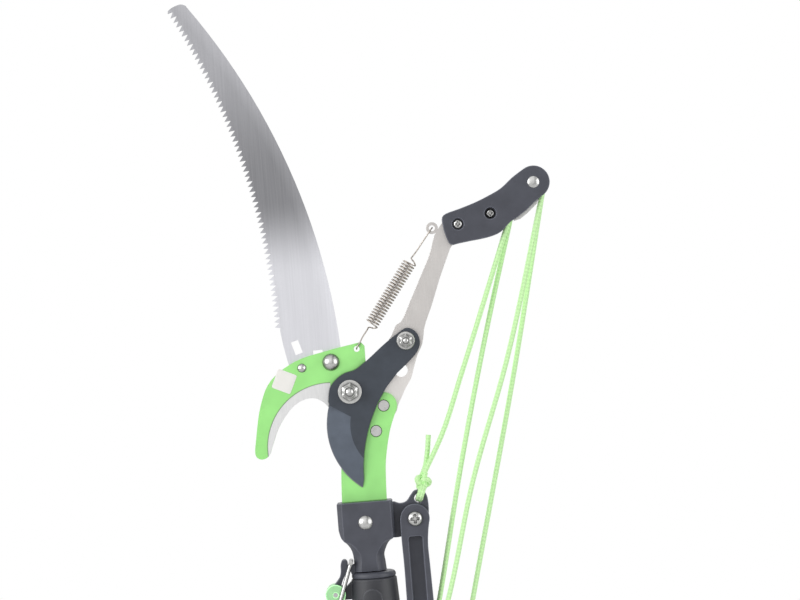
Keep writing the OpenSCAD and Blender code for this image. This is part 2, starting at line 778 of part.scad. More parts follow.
module back_strap() {
    strap_r = 9.5;
    run = unit(neck_pivot - lever_pivot);
    side = 0.94 * strap_r * [-run.y, run.x];
    lap = 0.2 * strap_r * run;
    color(green) head() difference() {
        slab(strap_back, strap_t) {
            translate(lever_pivot) circle(r = strap_r);
            translate(neck_pivot) circle(r = strap_r);
            polygon([lever_pivot + side - lap, neck_pivot + side + lap, neck_pivot - side + lap,
                lever_pivot - side - lap]);
        }
        for (at = [lever_pivot, neck_pivot]) stud(at, 0, 2 * strap_back, rivet_d);
    }
}

// RETURN SPRING

spring_low = [14, 212.3];
spring_high = [51.8, 264];
spring_y = (lever_front + lever_t / 2) / 2;
coil_r = (spring_d - wire_d) / 2;
spring_axis = unit([spring_high.x - spring_low.x, 0, spring_high.y - spring_low.y]);
spring_side = cross(spring_axis, [0, 1, 0]);
spring_run = norm(spring_high - spring_low);
wire_front = plate_front - wire_d / 2 - tube_fit;
wire_lever = lever_front - wire_d / 2 - tube_fit;

// A point on the coil: distance along the axis, radius and turn in curls
function coil_at(along, r, turn) = [spring_low.x, spring_y, spring_low.y] + along * spring_axis
    + r * (cos(360 * turn) * spring_side + sin(360 * turn) * [0, 1, 0]);

spring_path = concat(
    smooth([[spring_plate_at.x, plate_back + 2, spring_plate_at.y], [spring_plate_at.x, 0, spring_plate_at.y],
        [spring_plate_at.x, wire_front + 0.8, spring_plate_at.y + 0.3],
        [spring_plate_at.x + 0.8, wire_front - 0.2, spring_plate_at.y + 2],
        [3.5, wire_front, 198.5], [6.5, wire_front + 1.4, 203.5], coil_at(-3.6, 0.8, 0)], 3),
    [for (k = [1:3]) coil_at(-3.6 + 0.9 * k, coil_r * k / 4, k / 8)],
    [for (k = [4:spring_curls * 8 - 4]) coil_at(spring_run * k / (spring_curls * 8), coil_r, k / 8)],
    [for (k = [3:-1:1]) coil_at(spring_run + 3.6 - 0.9 * k, coil_r * k / 4, -k / 8)],
    smooth([coil_at(spring_run + 3.6, 0.8, 0), [66, wire_lever + 0.3, 283], [71.2, wire_lever - 0.2, 289.6],
        [spring_lever_at.x, wire_lever + 0.8, spring_lever_at.y],
        [spring_lever_at.x, lever_back + 2, spring_lever_at.y]], 3));

// Least gap from the wire to itself, between points more than a half curl apart
spring_gap = min([for (i = [0:len(spring_path) - 6]) for (j = [i + 5:len(spring_path) - 1])
    norm(spring_path[i] - spring_path[j])]) - wire_d;

module return_spring() {
    echo(spring_self_gap = spring_gap);
    color(zinc) head() tube(spring_path, wire_d / 2, 6);
}

// PULLEY HOUSING

sheave_gap = 0.2;
spacer_t = 0.8;
cavity_w = 2 * sheave_w + spacer_t + 4 * sheave_gap;
housing_mid = lever_front + lever_t / 2;
housing_front_y = housing_mid - cavity_w / 2 - housing_wall;
housing_back_y = housing_mid + cavity_w / 2 + housing_wall;
sheave_front_y = housing_mid - spacer_t / 2 - sheave_gap - sheave_w / 2;
sheave_back_y = housing_mid + spacer_t / 2 + sheave_gap + sheave_w / 2;
cavity_r = sheave_r + rope_d / 2 + 0.4;
housing_end_r = cavity_r + 1.5;
screw_d = 4;
screw_head_d = 7.6;
screw_sink = [2, 4];
counterbore_d = 10;
nut_d = 8;
nut_t = 3.2;

housing_top = [[82, 287], [81, 297.4], [84.4, 301.4], [96, 304.7], [109, 308.8], [120, 313.2], [132, 319],
    [141.4, 326.6], [147.6, 330.9], [153, 334.2]];
housing_low = [[168, 311.2], [160, 305.6], [152.7, 299.4], [144, 293.6], [137.4, 289.6], [130, 282.8],
    [122, 279.8], [113, 278.2], [104, 277.2], [93.4, 275.8], [87.6, 275], [84.6, 278.4], [82, 287]];

module housing_outline() {
    polygon(concat(smooth(housing_top, 3), [axle_at + [5, 4], axle_at + [6, -6]], smooth(housing_low, 3)));
}

// Room for the sheaves, the rope over them and its way out below
module housing_cavity() {
    translate(axle_at) circle(r = cavity_r);
    polygon([[147.6, 326.5], [130.5, 280], [160, 280], axle_at + [cavity_r, -2.5]]);
}

// Pocket that takes the lever's end
module tongue_pocket() {
    polygon([[60, 262], [94, 278.6], [121, 282.6], [129, 287], [130, 304.4], [118, 308.2], [96, 302.6],
        [60, 303]]);
}

module housing_half(front, back, pocket_front, pocket_back, room_front, room_back) {
    color(black) head() difference() {
        slab(back, back - front) {
            housing_outline();
            translate(axle_at) circle(r = housing_end_r);
        }
        slab(room_back, room_back - room_front) housing_cavity();
        slab(pocket_back, pocket_back - pocket_front) tongue_pocket();
        for (at = screw_at) stud(at, front - 1, back + 1, screw_d);
        stud(axle_at, front - 1, back + 1, axle_d);
        children();
    }
}

module housing_front() {
    housing_half(housing_front_y, housing_mid, lever_front, housing_mid + 1, housing_front_y + housing_wall,
        housing_mid + 1)
        for (i = [0, 1])
            stud(screw_at[i], housing_front_y - 1, housing_front_y + screw_sink[i], counterbore_d);
}

module housing_back() {
    housing_half(housing_mid, housing_back_y, housing_mid - 1, lever_back, housing_mid - 1,
        housing_back_y - housing_wall)
        for (at = screw_at) stud(at, housing_back_y - nut_t, housing_back_y + 1, nut_d + 0.4, 6);
}

module housing_screws() {
    head_h = 2.4;
    color(zinc) head() for (i = [0, 1]) {
        seat = housing_front_y + screw_sink[i];
        dome(screw_at[i], seat, screw_head_d, head_h);
        stud(screw_at[i], seat, housing_back_y - 0.2, screw_d);
    }
}

module housing_nuts() {
    color(zinc) head() for (at = screw_at) difference() {
        stud(at, housing_back_y - nut_t, housing_back_y, nut_d, 6);
        stud(at, 0, housing_back_y + 1, screw_d);
    }
}

module sheave_axle() {
    axle_head_d = 10;
    color(zinc) head() {
        stud(axle_at, housing_front_y, housing_back_y, axle_d);
        dome(axle_at, housing_front_y, axle_head_d, 1.2);
        mirror([0, 1, 0]) dome(axle_at, -housing_back_y, axle_head_d, 1.2);
    }
}

// A grooved wheel as [radius, width]: half-round groove with room for the rope
module sheave_profile(bore_d, w, rope_r) {
    rim = rope_r + rope_d / 2 - 0.6;
    difference() {
        translate([bore_d / 2, -w / 2]) square([rim - bore_d / 2, w]);
        translate([rope_r, 0]) circle(d = rope_d + 0.4);
        translate([rope_r, -rope_d / 2 - 0.2]) square([rim, rope_d + 0.4]);
    }
}

module sheave_front() {
    color(alloy) head() turned_on(axle_at, sheave_front_y)
        sheave_profile(axle_d + 2 * pin_fit, sheave_w, sheave_r);
}

module sheave_back() {
    color(alloy) head() turned_on(axle_at, sheave_back_y)
        sheave_profile(axle_d + 2 * pin_fit, sheave_w, sheave_r);
}

module sheave_spacer() {
    color(zinc) head() difference() {
        slab(housing_mid + spacer_t / 2, spacer_t) {
            translate(axle_at) circle(r = sheave_r);
            polygon([axle_at, [150, 313], [143.6, 300], [141.6, 291], [147.2, 292.4], [153.4, 296.6],
                [162, 304], [167.4, 315]]);
        }
        stud(axle_at, 0, 2 * housing_back_y, axle_d);
    }
}

// PULLEY ARM

arm_screw_d = 6;
arm_back = -ear_t / 2 - run_gap;
arm_front = arm_back - arm_t;
arm_r = 12.3;
arm_left = 26;
arm_right = 49;
channel_w = 12;
channel_depth = 6;
low_sheave_w = channel_w - 2 * run_gap;
low_axle_y = (arm_front + arm_back) / 2;
fork_top = low_axle_at.y + low_sheave_r + rope_d;

module pulley_arm() {
    prong = 9;
    corner = 2.2;
    channel_top = 32.8;
    mid = low_axle_at.x;
    base = low_axle_at.y - prong;
    color(black) head() difference() {
        slab(arm_back, arm_t) {
            translate(arm_at) circle(r = arm_r);
            polygon(concat([[arm_at.x, arm_at.y]],
                smooth([[arm_left, 48], [25.8, 31], [26.3, 4], [arm_left, -40]]),
                [[arm_left, base + 3], [arm_left + 3, base], [arm_right - 3, base], [arm_right, base + 3]],
                smooth([[arm_right, -30], [48.2, 7], [47.8, 24], [48.8, 36], [50.6, 46]])));
        }
        slab(arm_front + channel_depth, arm_t) {
            translate([mid - channel_w / 2, base - 1]) square([channel_w, channel_top - corner - base + 1]);
            translate([mid - channel_w / 2 + corner, base - 1])
                square([channel_w - 2 * corner, channel_top - base + 1]);
            for (s = [-1, 1]) translate([mid + s * (channel_w / 2 - corner), channel_top - corner])
                circle(r = corner);
        }
        slab(arm_back + 1, arm_t + 2) translate([mid - channel_w / 2, base - 1])
            square([channel_w, fork_top - base + 1]);
        stud(arm_at, arm_front - 1, arm_back + 1, arm_screw_d + 2 * pin_fit);
        translate([arm_left - 1, low_axle_y, low_axle_at.y]) rotate([0, 90, 0])
            cylinder(h = arm_right - arm_left + 2, d = low_axle_d);
    }
}

module arm_screw() {
    color(zinc) head() {
        dome(arm_at, arm_front - run_gap - 1, 11.8, 2.4);
        stud(arm_at, arm_front - run_gap - 1, arm_front - run_gap, 11.8);
        stud(arm_at, arm_front - run_gap, ear_t / 2 + 6, arm_screw_d);
    }
}

module arm_nut() {
    color(zinc) head() difference() {
        stud(arm_at, ear_t / 2, ear_t / 2 + 5, 11.5, 6);
        stud(arm_at, 0, ear_t / 2 + 6, arm_screw_d);
    }
}

module arm_sheave() {
    color(alloy) head() translate([low_axle_at.x, low_axle_y, low_axle_at.y]) rotate([0, 90, 0])
        rotate_extrude() sheave_profile(low_axle_d + 2 * pin_fit, low_sheave_w, low_sheave_r);
}

module arm_axle() {
    color(zinc) head() translate([arm_left, low_axle_y, low_axle_at.y]) rotate([0, 90, 0])
        cylinder(h = arm_right - arm_left, d = low_axle_d);
}

// ROPE

rope_sides = 8;
// Between a strand and a wrap that turns with another piece
rope_gap = 1;
knot_at = [46.2, 0, 79];
left_exit = [136.5, 290];
back_exit = [138.2, 290];
right_exit = [166.2, 308.5];
pull_exit = [166.8, 308.5];
rope_tie_route = [[left_exit.x, sheave_front_y, left_exit.y], [87, 0, 165], [66.4, 0, 115], [49.5, 0, 84.6]];
rope_back_route = concat([[back_exit.x, sheave_back_y, back_exit.y], [115, 5.6, 213], [81, 3.1, 89],
    [54.5, 1.2, -20]], low_end(low_axle_y + low_sheave_r));
rope_front_route = concat([[right_exit.x, sheave_front_y, right_exit.y], [126, -6, 174], [89.5, -11, 75],
    [61, -15.6, -22]], low_end(low_axle_y - low_sheave_r));
rope_pull_route = [[pull_exit.x, sheave_back_y, pull_exit.y - rope_gap], [134.5, 5.4, 174], [82, 2.6, -25],
    [36, 0.2, -202], [handle_x + 1, 0, -212], [handle_x, 0, handle_top - 8], [handle_x, 0, handle_top - 24]];
tail_route = [[47, 3.5, 82], [50, 5, 88], [53, 5.5, 100], [55.4, 5.5, 116]];

// A strand's last stretch, straight down into the low sheave's groove
function low_end(y) = [for (h = [low_sheave_r, rope_gap]) [low_axle_at.x, y, low_axle_at.y + h]];

// Over an upper sheave: from the left way out, round the top, to the right way out
function over_sheave(left, right, y) = concat([[left.x, y, left.y]],
    [for (p = arc(axle_at, sheave_r, 158, -16, 9)) [p.x, y, p.y]], [[right.x, y, right.y]]);

module rope(path) {
    color(rope_green) head() tube(path, rope_d / 2, rope_sides);
}

module rope_tie_strand() {
    rope(rope_tie_route);
}

module rope_back_strand() {
    rope(rope_back_route);
}

module rope_front_strand() {
    rope(rope_front_route);
}

module rope_pull_strand() {
    rope(rope_pull_route);
}

module rope_front_wrap() {
    rope(over_sheave(left_exit, right_exit, sheave_front_y));
}

module rope_back_wrap() {
    rope(over_sheave(back_exit, pull_exit, sheave_back_y));
}

module rope_low_wrap() {
    rope([for (p = arc([low_axle_y, low_axle_at.y], low_sheave_r, 180, 360, 10)) [low_axle_at.x, p.x, p.y]]);
}

module rope_knot() {
    loop_r = 6.6;
    knot_r = 6;
    color(rope_green) head() {
        translate(knot_at) sphere(r = knot_r);
        translate([eye_at.x + 1.2, 0, eye_at.y + loop_r]) rotate([0, 10, 0]) rotate([0, 90, 0])
            rotate_extrude() translate([loop_r, 0]) circle(d = rope_d, $fn = 24);
    }
    rope(tail_route);
}

end_cap();
grip_sleeve();
inner_tube();
guide_bush();
lock_body();
lock_collar();
outer_tube();
tube_collar();
latch_pin();
latch_hub();
latch_grip();
latch_bail();
handle_clip();
pull_handle();
socket();
socket_rivet();
hook_plate();
saw_blade();
saw_bolt();
saw_nut();
saw_pin();
cutting_blade();
pivot_bolt();
pivot_washer();
pivot_nut();
drive_pin();
drive_bush();
drive_nut();
lever_plate();
lever_rivet();
neck_rivet();
strap_spacer();
back_strap();
return_spring();
housing_front();
housing_back();
housing_screws();
housing_nuts();
sheave_axle();
sheave_front();
sheave_back();
sheave_spacer();
pulley_arm();
arm_screw();
arm_nut();
arm_sheave();
arm_axle();
rope_knot();
rope_tie_strand();
rope_back_strand();
rope_front_strand();
rope_pull_strand();
rope_front_wrap();
rope_back_wrap();
rope_low_wrap();
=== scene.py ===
"""Looks of a rope-operated tree pruner head on its telescopic pole, laid out as an add-on.

Places are given as in the part's source: millimetres, x to the lever's side, y to the back, and height
above the seam between the head and the pole's collar. A place with two numbers is x and height.
"""

import json
import math

import bmesh
import bpy
import numpy as np
from mathutils import Matrix, Vector


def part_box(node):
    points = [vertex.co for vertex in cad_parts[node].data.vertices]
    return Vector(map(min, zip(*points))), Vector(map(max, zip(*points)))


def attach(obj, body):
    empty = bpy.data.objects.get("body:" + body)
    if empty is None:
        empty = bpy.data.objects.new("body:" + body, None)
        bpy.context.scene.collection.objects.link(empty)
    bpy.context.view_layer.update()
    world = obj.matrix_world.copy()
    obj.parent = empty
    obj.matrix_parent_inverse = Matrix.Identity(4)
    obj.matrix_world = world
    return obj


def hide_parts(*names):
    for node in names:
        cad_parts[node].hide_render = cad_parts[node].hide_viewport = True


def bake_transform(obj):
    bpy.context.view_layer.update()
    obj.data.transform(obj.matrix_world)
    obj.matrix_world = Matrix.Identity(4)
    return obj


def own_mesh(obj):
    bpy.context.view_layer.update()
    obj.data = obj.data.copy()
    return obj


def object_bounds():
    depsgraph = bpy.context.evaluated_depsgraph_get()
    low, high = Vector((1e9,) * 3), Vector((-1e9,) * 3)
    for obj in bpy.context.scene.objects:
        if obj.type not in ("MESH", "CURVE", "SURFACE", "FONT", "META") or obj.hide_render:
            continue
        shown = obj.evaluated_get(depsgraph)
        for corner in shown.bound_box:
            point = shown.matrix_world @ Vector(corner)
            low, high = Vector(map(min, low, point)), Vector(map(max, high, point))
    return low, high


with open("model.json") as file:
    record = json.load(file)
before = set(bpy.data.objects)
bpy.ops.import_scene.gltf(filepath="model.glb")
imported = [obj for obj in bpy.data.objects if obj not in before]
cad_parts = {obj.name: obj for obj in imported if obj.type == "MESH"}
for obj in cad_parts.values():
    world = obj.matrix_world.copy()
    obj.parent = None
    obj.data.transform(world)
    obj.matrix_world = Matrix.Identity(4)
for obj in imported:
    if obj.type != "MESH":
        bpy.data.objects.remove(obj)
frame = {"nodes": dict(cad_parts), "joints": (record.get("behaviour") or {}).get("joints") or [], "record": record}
cad_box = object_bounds()

bl_info = {
    "name": "Tree Pruner Looks",
    "version": (1, 0, 0),
    "blender": (4, 5, 0),
    "location": "View3D > Sidebar > Pruner",
    "description": "Finishes, rope, spring and small fasteners of a tree pruner pole",
    "category": "Object",
}

MM = 0.001
seam_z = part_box("tube_collar")[1].z
joints = {joint["name"]: joint for joint in frame["joints"]}

# Bolts and screws on the head, shared with the part's source; a housing screw's third number is its sink
PIVOT = (-8.0, 158.0)
DRIVE_ARM, DRIVE_ANGLE = 64.0, math.radians(38)
DRIVE = (PIVOT[0] + DRIVE_ARM * math.cos(DRIVE_ANGLE), PIVOT[1] + DRIVE_ARM * math.sin(DRIVE_ANGLE))
SAW_BOLT = (-22.0, 184.0)
ARM_SCREW, ARM_FRONT, ARM_NUT_END = (38.5, 47.5), -13.9, 9.5
HOUSING_SCREWS = ((94.0, 292.0, 2.0), (122.0, 299.0, 4.0))
HOUSING_FRONT, HOUSING_NUT_END = -6.3, 13.5

# Lock nuts: piece, body, CAD node, axis, y of the seat, side, width across, height, bore, mouth, flange's
# diameter and thickness
NUTS = (
    ("pivot_lock_nut", "upper", "pivot_nut", PIVOT, -7.1, -1, 13.0, 8.9, 10.0, 8.0, 0, 0),
    ("drive_lock_nut", "blade", "drive_nut", DRIVE, -5.4, -1, 10.0, 7.6, 8.0, 5.8, 15.6, 1.2),
    ("saw_lock_nut", "upper", "saw_nut", SAW_BOLT, 3.6, 1, 13.0, 7.5, 8.0, 8.0, 17.0, 1.5),
)
NUT_TURN = math.radians(25)

# Rounded bolt ends: piece, body, CAD node, axis, diameter
BOLT_ENDS = (
    ("pivot_bolt_end", "upper", "pivot_bolt", PIVOT, 8.0),
    ("drive_bolt_end", "blade", "drive_pin", DRIVE, 5.8),
)

# Arcs and heights that finishes follow: jaw's land, blade's edge, saw's two edges; and the heights of painted
# reflections: saw's heel and toe, lever's foot
LAND_CENTRE, LAND_RADIUS, LAND_Y, LAND_END = (-26.8, 112.6), 54.4, -1.75, -24.0
EDGE_CENTRE, EDGE_RADIUS, EDGE_TOP = (32.7, 127.4), 62.6, 140.0
SAW_BACK_CENTRE, SAW_BACK_RADIUS = (-572.0, 162.0), 560.0
SAW_TEETH_CENTRE, SAW_TEETH_RADIUS = (-647.0, 214.0), 579.5
SAW_HEEL, SAW_TOE = (257.0, 325.0), (345.0, 460.0)
LEVER_FOOT = (165.0, 215.0)

# The rope's way: knot, front sheave, arm's sheave, back sheave, pull handle
SHEAVE_AXLE, SHEAVE_RADIUS, SHEAVE_WRAP = (160.3, 322.5), 9.8, (158, -16)
SHEAVE_FRONT_Y, SHEAVE_BACK_Y = 0.1, 7.3
LOW_AXLE, LOW_RADIUS = (37.5, -8.7, -94.5), 9.6
LOW_FRONT_Y, LOW_BACK_Y = LOW_AXLE[1] - LOW_RADIUS, LOW_AXLE[1] + LOW_RADIUS
LEFT_EXIT, BACK_EXIT = (136.5, 290.0), (138.2, 290.0)
RIGHT_EXIT, PULL_EXIT = (166.2, 308.5), (166.8, 308.5)
TIE_ROUTE = ((49.5, 0, 84.6), (66.4, 0, 115), (87, 0, 165), (LEFT_EXIT[0], SHEAVE_FRONT_Y, LEFT_EXIT[1]))
FRONT_ROUTE = (
    (RIGHT_EXIT[0], SHEAVE_FRONT_Y, RIGHT_EXIT[1]), (126, -6, 174), (89.5, -11, 75), (61, -15.6, -22),
    (LOW_AXLE[0], LOW_FRONT_Y, LOW_AXLE[2] + LOW_RADIUS), (LOW_AXLE[0], LOW_FRONT_Y, LOW_AXLE[2]),
)
BACK_ROUTE = (
    (BACK_EXIT[0], SHEAVE_BACK_Y, BACK_EXIT[1]), (115, 5.6, 213), (81, 3.1, 89), (54.5, 1.2, -20),
    (LOW_AXLE[0], LOW_BACK_Y, LOW_AXLE[2] + LOW_RADIUS), (LOW_AXLE[0], LOW_BACK_Y, LOW_AXLE[2]),
)
PULL_ROUTE = (
    (PULL_EXIT[0], SHEAVE_BACK_Y, PULL_EXIT[1]), (134.5, 5.4, 174), (82, 2.6, -25),
    (36, 0.2, -202), (31, 0, -212), (30, 0, -225), (30, 0, -241),
)
FRONT_SLIP, BACK_SLIP = 20 * MM, 30 * MM
ROPE_SIDES, ROPE_STEP, BEND_POINTS = 36, 0.5 * MM, 40
BRAID_STRANDS, BRAID_RELIEF, BRAID_CRISP = 5, 0.06, 2.0

# The knot above the eye of the socket's ear, its two turns through the eye and its tail
EYE, KNOT = (43.0, 0.0, 62.4), (47.2, 0.0, 76.2)
KNOT_SIZE, KNOT_DEPTH, KNOT_LEAN, KNOT_TURN = 1.95, 2.3, math.radians(22), math.radians(25)
KNOT_LEAD = (-2.0, 3.0, 9.0)
LOOP_RADIUS, LOOP_ACROSS = 6.0, (-1.0, 1.0)
TAIL_ROUTE = ((47, 3.5, 82), (50, 5, 88), (53, 5.5, 100), (55.4, 5.5, 116))

# The return spring's ends, its coil's axis, and how far along and how near its ends draw in to the axis
SPRING_PLATE_HOLE, SPRING_LEVER_HOLE = (0.5, 193.5), (72.0, 290.5)
SPRING_LOW, SPRING_HIGH = np.array((14.0, 1.85, 212.3)), np.array((51.8, 1.85, 264.0))
SPRING_TAPER, SPRING_NECK = 3.6, 0.8
SPRING_SIDES, SPRING_STEP = 10, 0.6 * MM

# The blank label: place, turn, how square it is, and its rings as shares of its size and their y
LABEL_PLACE, LABEL_TURN, LABEL_SQUARE, LABEL_POINTS = (-62.7, 170.9), math.radians(-25), 14, 96
LABEL_SHARE, LABEL_Y = np.array((1.0, 1.0, 0.985, 0.5)), np.array((-2.0, -2.1, -2.15, -2.15))

# The stage: the camera's aim and sensor, the floor, and lamps by place from the aim, size and power
AIM, SENSOR, FLOOR_REACH = (40.3, 0, 231.9), 36, 4.0
LAMPS = (
    ("key lamp", (-1.9, -1.2, 0.5), 1.6, 28),
    ("fill lamp", (1.9, -1.2, 0.1), 1.6, 15),
    ("rim lamp", (0.3, 1.4, 1.2), 1.0, 8),
)


def linear(code):
    """An sRGB hex code as linear red, green and blue."""
    parts = [int(code[i:i + 2], 16) / 255 for i in (1, 3, 5)]
    return tuple(p / 12.92 if p <= 0.04045 else ((p + 0.055) / 1.055) ** 2.4 for p in parts)


def row(points):
    """Points in millimetres above the seam, in metres in the frame."""
    return np.asarray(points, float) * MM + np.array((0.0, 0.0, seam_z))


class PrunerSettings(bpy.types.PropertyGroup):
    """Sizes and colours that a user would change."""

    rope_diameter: bpy.props.FloatProperty(
        name="Rope diameter", description="Diameter of the pull rope", default=4.2 * MM, unit="LENGTH")
    braid_pitch: bpy.props.FloatProperty(
        name="Braid pitch", description="Length of rope in which a strand of the braid goes once round",
        default=16 * MM, unit="LENGTH")
    wire_diameter: bpy.props.FloatProperty(
        name="Spring wire", description="Diameter of the return spring's wire",
        default=1.2 * MM, unit="LENGTH")
    coil_diameter: bpy.props.FloatProperty(
        name="Spring coil", description="Outside diameter of the return spring",
        default=12 * MM, unit="LENGTH")
    coil_curls: bpy.props.IntProperty(
        name="Spring curls", description="Curls in the return spring", default=24, min=8, max=40)
    label_size: bpy.props.FloatProperty(
        name="Label size", description="Side of the blank label on the hook",
        default=17 * MM, unit="LENGTH")
    green: bpy.props.FloatVectorProperty(
        name="Hook green", description="Powder coat of the hook plate", subtype="COLOR",
        default=linear("#a2ec8a"))
    rope_green: bpy.props.FloatVectorProperty(
        name="Rope green", description="Fibre of the rope", subtype="COLOR", default=linear("#d3ffba"))
    hub_green: bpy.props.FloatVectorProperty(
        name="Latch green", description="Plastic of the latch's hub", subtype="COLOR",
        default=linear("#aae4a7"))
    nylon: bpy.props.FloatVectorProperty(
        name="Black nylon", description="Moulded nylon of socket, housing and arm", subtype="COLOR",
        default=linear("#484a53"))
    # A darker copy of the black nylon: painted shade for the dimmer light on the pole's collar
    shaded_nylon: bpy.props.FloatVectorProperty(
        name="Shaded nylon", description="Moulded nylon of the pole's collar", subtype="COLOR",
        default=linear("#36373c"))
    coating: bpy.props.FloatVectorProperty(
        name="Blade coating", description="Dark coating of the cutting blade", subtype="COLOR",
        default=linear("#3c424b"))
    steel: bpy.props.FloatVectorProperty(
        name="Bare steel", description="Steel of the lever", subtype="COLOR", default=linear("#e2dedb"))
    saw_steel: bpy.props.FloatVectorProperty(
        name="Saw steel", description="Ground steel of the saw", subtype="COLOR", default=linear("#dfdfe4"))
    zinc: bpy.props.FloatVectorProperty(
        name="Zinc plate", description="Plating of bolts, nuts and rivets", subtype="COLOR",
        default=linear("#dcdcda"))
    lean: bpy.props.FloatProperty(
        name="Lean", description="How far the pole leans to the left in the picture", subtype="ANGLE",
        default=math.radians(4.5))
    field_width: bpy.props.FloatProperty(
        name="Field width", description="Width that the picture shows at the head",
        default=0.677, unit="LENGTH")
    camera_distance: bpy.props.FloatProperty(
        name="Camera distance", description="Distance from the camera to the head",
        default=2.4, unit="LENGTH")


# Meshes

def grid_faces(rings, sides):
    """Quads between neighbouring rings of a closed-round grid, and a cap on each end ring."""
    ring = np.arange(rings - 1)[:, None] * sides
    here = np.arange(sides)[None, :]
    there = (here + 1) % sides
    quads = np.stack([ring + here, ring + there, ring + sides + there, ring + sides + here], -1)
    caps = [list(range(sides))[::-1], list(range((rings - 1) * sides, rings * sides))]
    return quads.reshape(-1, 4).tolist() + caps


def grid_uvs(rings, sides, length):
    """UVs for grid_faces: once round the tube across, and metres along it upwards."""
    along = np.linspace(0, length, rings)
    lower = np.repeat(along[:-1], sides)
    upper = np.repeat(along[1:], sides)
    left = np.tile(np.arange(sides) / sides, rings - 1)
    right = left + 1 / sides
    quads = np.stack([left, lower, right, lower, right, upper, left, upper], -1).reshape(-1, 2)
    return np.vstack([quads, np.zeros((2 * sides, 2))])


def add_piece(name, vertices, faces, material, body, slot, replaces=(), uvs=None, crease=40):
    """A closed mesh piece that rides on a body, with its faces turned outwards."""
    mesh = bpy.data.meshes.new(name)
    mesh.from_pydata(np.asarray(vertices).tolist(), [], faces)
    if uvs is not None:
        layer = mesh.uv_layers.new(name="rope")
        layer.data.foreach_set("uv", uvs.astype(np.float32).ravel())
    shell = bmesh.new()
    shell.from_mesh(mesh)
    bmesh.ops.recalc_face_normals(shell, faces=shell.faces)
    shell.to_mesh(mesh)
    shell.free()
    mesh.polygons.foreach_set("use_smooth", np.ones(len(mesh.polygons), bool))
    mesh.set_sharp_from_angle(angle=math.radians(crease))
    mesh.materials.append(material)
    made = bpy.data.objects.new(name, mesh)
    bpy.context.scene.collection.objects.link(made)
    if body:
        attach(made, body)
    if replaces:
        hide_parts(*replaces)
    return made


def smooth_path(points, step):
    """A curve through points by cubic spans, resampled so that neighbours are about one step apart.

    A point's slope is the mean of the slopes on its two sides, each weighted by the other side's length.
    """
    p = np.asarray(points, float)
    gap = np.linalg.norm(np.diff(p, axis=0), axis=1)[:, None]
    slope = np.diff(p, axis=0) / gap
    inner = (slope[:-1] * gap[1:] + slope[1:] * gap[:-1]) / (gap[1:] + gap[:-1])
    tangent = np.vstack([slope[:1], inner, slope[-1:]])
    u = np.linspace(0, 1, 24, endpoint=False)[None, :, None]
    leave, arrive = tangent[:-1, None] * gap[:, None], tangent[1:, None] * gap[:, None]
    spans = (p[:-1, None] * (1 + 2 * u) * (1 - u) ** 2 + leave * u * (1 - u) ** 2
             + p[1:, None] * u ** 2 * (3 - 2 * u) - arrive * u ** 2 * (1 - u))
    fine = np.vstack([spans.reshape(-1, 3), p[-1:]])
    along = np.concatenate([[0], np.cumsum(np.linalg.norm(np.diff(fine, axis=0), axis=1))])
    at = np.linspace(0, along[-1], max(3, int(along[-1] / step) + 1))
    return np.stack([np.interp(at, along, fine[:, k]) for k in range(3)], -1)


def path_length(path):
    """Length of a line of points."""
    return float(np.linalg.norm(np.diff(path, axis=0), axis=1).sum())


def braid(along, around):
    """Height of a braid between -1 and 1, from pitches s along it and turns t around it.

    It is tanh(c sin(b (s + t)) sin(b (s - t))). Its crests are the diamonds in which the strands that go one
    way lie over those that go the other way.
    """
    beat = BRAID_STRANDS * math.pi
    return np.tanh(BRAID_CRISP * np.sin(beat * (along + around)) * np.sin(beat * (along - around)))


def tube(path, radius, sides, pitch=None):
    """A round tube: each ring is radius times (cos a * side + sin a * up), square to the path.

    side and up are carried along without twist. With a pitch it is a rope, its radius raised and lowered by
    the braid.
    """
    ahead = np.gradient(path, axis=0)
    ahead /= np.linalg.norm(ahead, axis=1)[:, None]
    side = np.cross(ahead[0], (0.31, 0.62, 0.72))
    carried = []
    for direction in ahead:
        side = side - (side @ direction) * direction
        side /= np.linalg.norm(side)
        carried.append(side)
    side = np.array(carried)
    up = np.cross(ahead, side)
    around = np.linspace(0, 1, sides, endpoint=False)[None, :, None]
    reach = radius
    if pitch:
        along = np.linspace(0, path_length(path), len(path))[:, None, None]
        reach = radius * (1 + BRAID_RELIEF * braid(along / pitch, around))
    angle = 2 * math.pi * around
    rings = path[:, None] + reach * (np.cos(angle) * side[:, None] + np.sin(angle) * up[:, None])
    return rings.reshape(-1, 3), grid_faces(len(path), sides)


def joined(*parts):
    """Several closed meshes as one list of vertices and faces."""
    counts = np.cumsum([0] + [len(vertices) for vertices, _ in parts])
    faces = [[i + start for i in face] for (_, part), start in zip(parts, counts) for face in part]
    return np.vstack([vertices for vertices, _ in parts]), faces


def turned(profile, sides, at, face, out, change=None):
    """A turned piece along y: rings of the profile's radius and height, which change may reshape.

    at is the axis as x and height, face the depth of height 0, and out -1 to the front or 1 to the back.
    """
    profile = np.asarray(profile, float)
    angle = np.linspace(0, 2 * math.pi, sides, endpoint=False)[None, :]
    radius = np.broadcast_arrays(profile[:, :1], angle)[0]
    height = np.broadcast_arrays(profile[:, 1:], angle)[0]
    if change:
        radius, height = change(radius, height, np.broadcast_to(angle, radius.shape))
    across, up = radius * np.cos(angle), radius * np.sin(angle)
    points = np.stack([at[0] + across, face + out * height, at[1] + up], -1)
    return row(points.reshape(-1, 3)), grid_faces(len(profile), sides)


def six_sided(across, foot, turn):
    """A change for turned(): above its foot, flats at half the width across.

    A corner lies at the angle turn, from x towards height.
    """
    def change(radius, height, angle):
        flat = across / 2 / np.cos(((angle - turn) % (math.pi / 3)) - math.pi / 6)
        return np.where(height > foot, np.minimum(radius, flat), radius), height
    return change


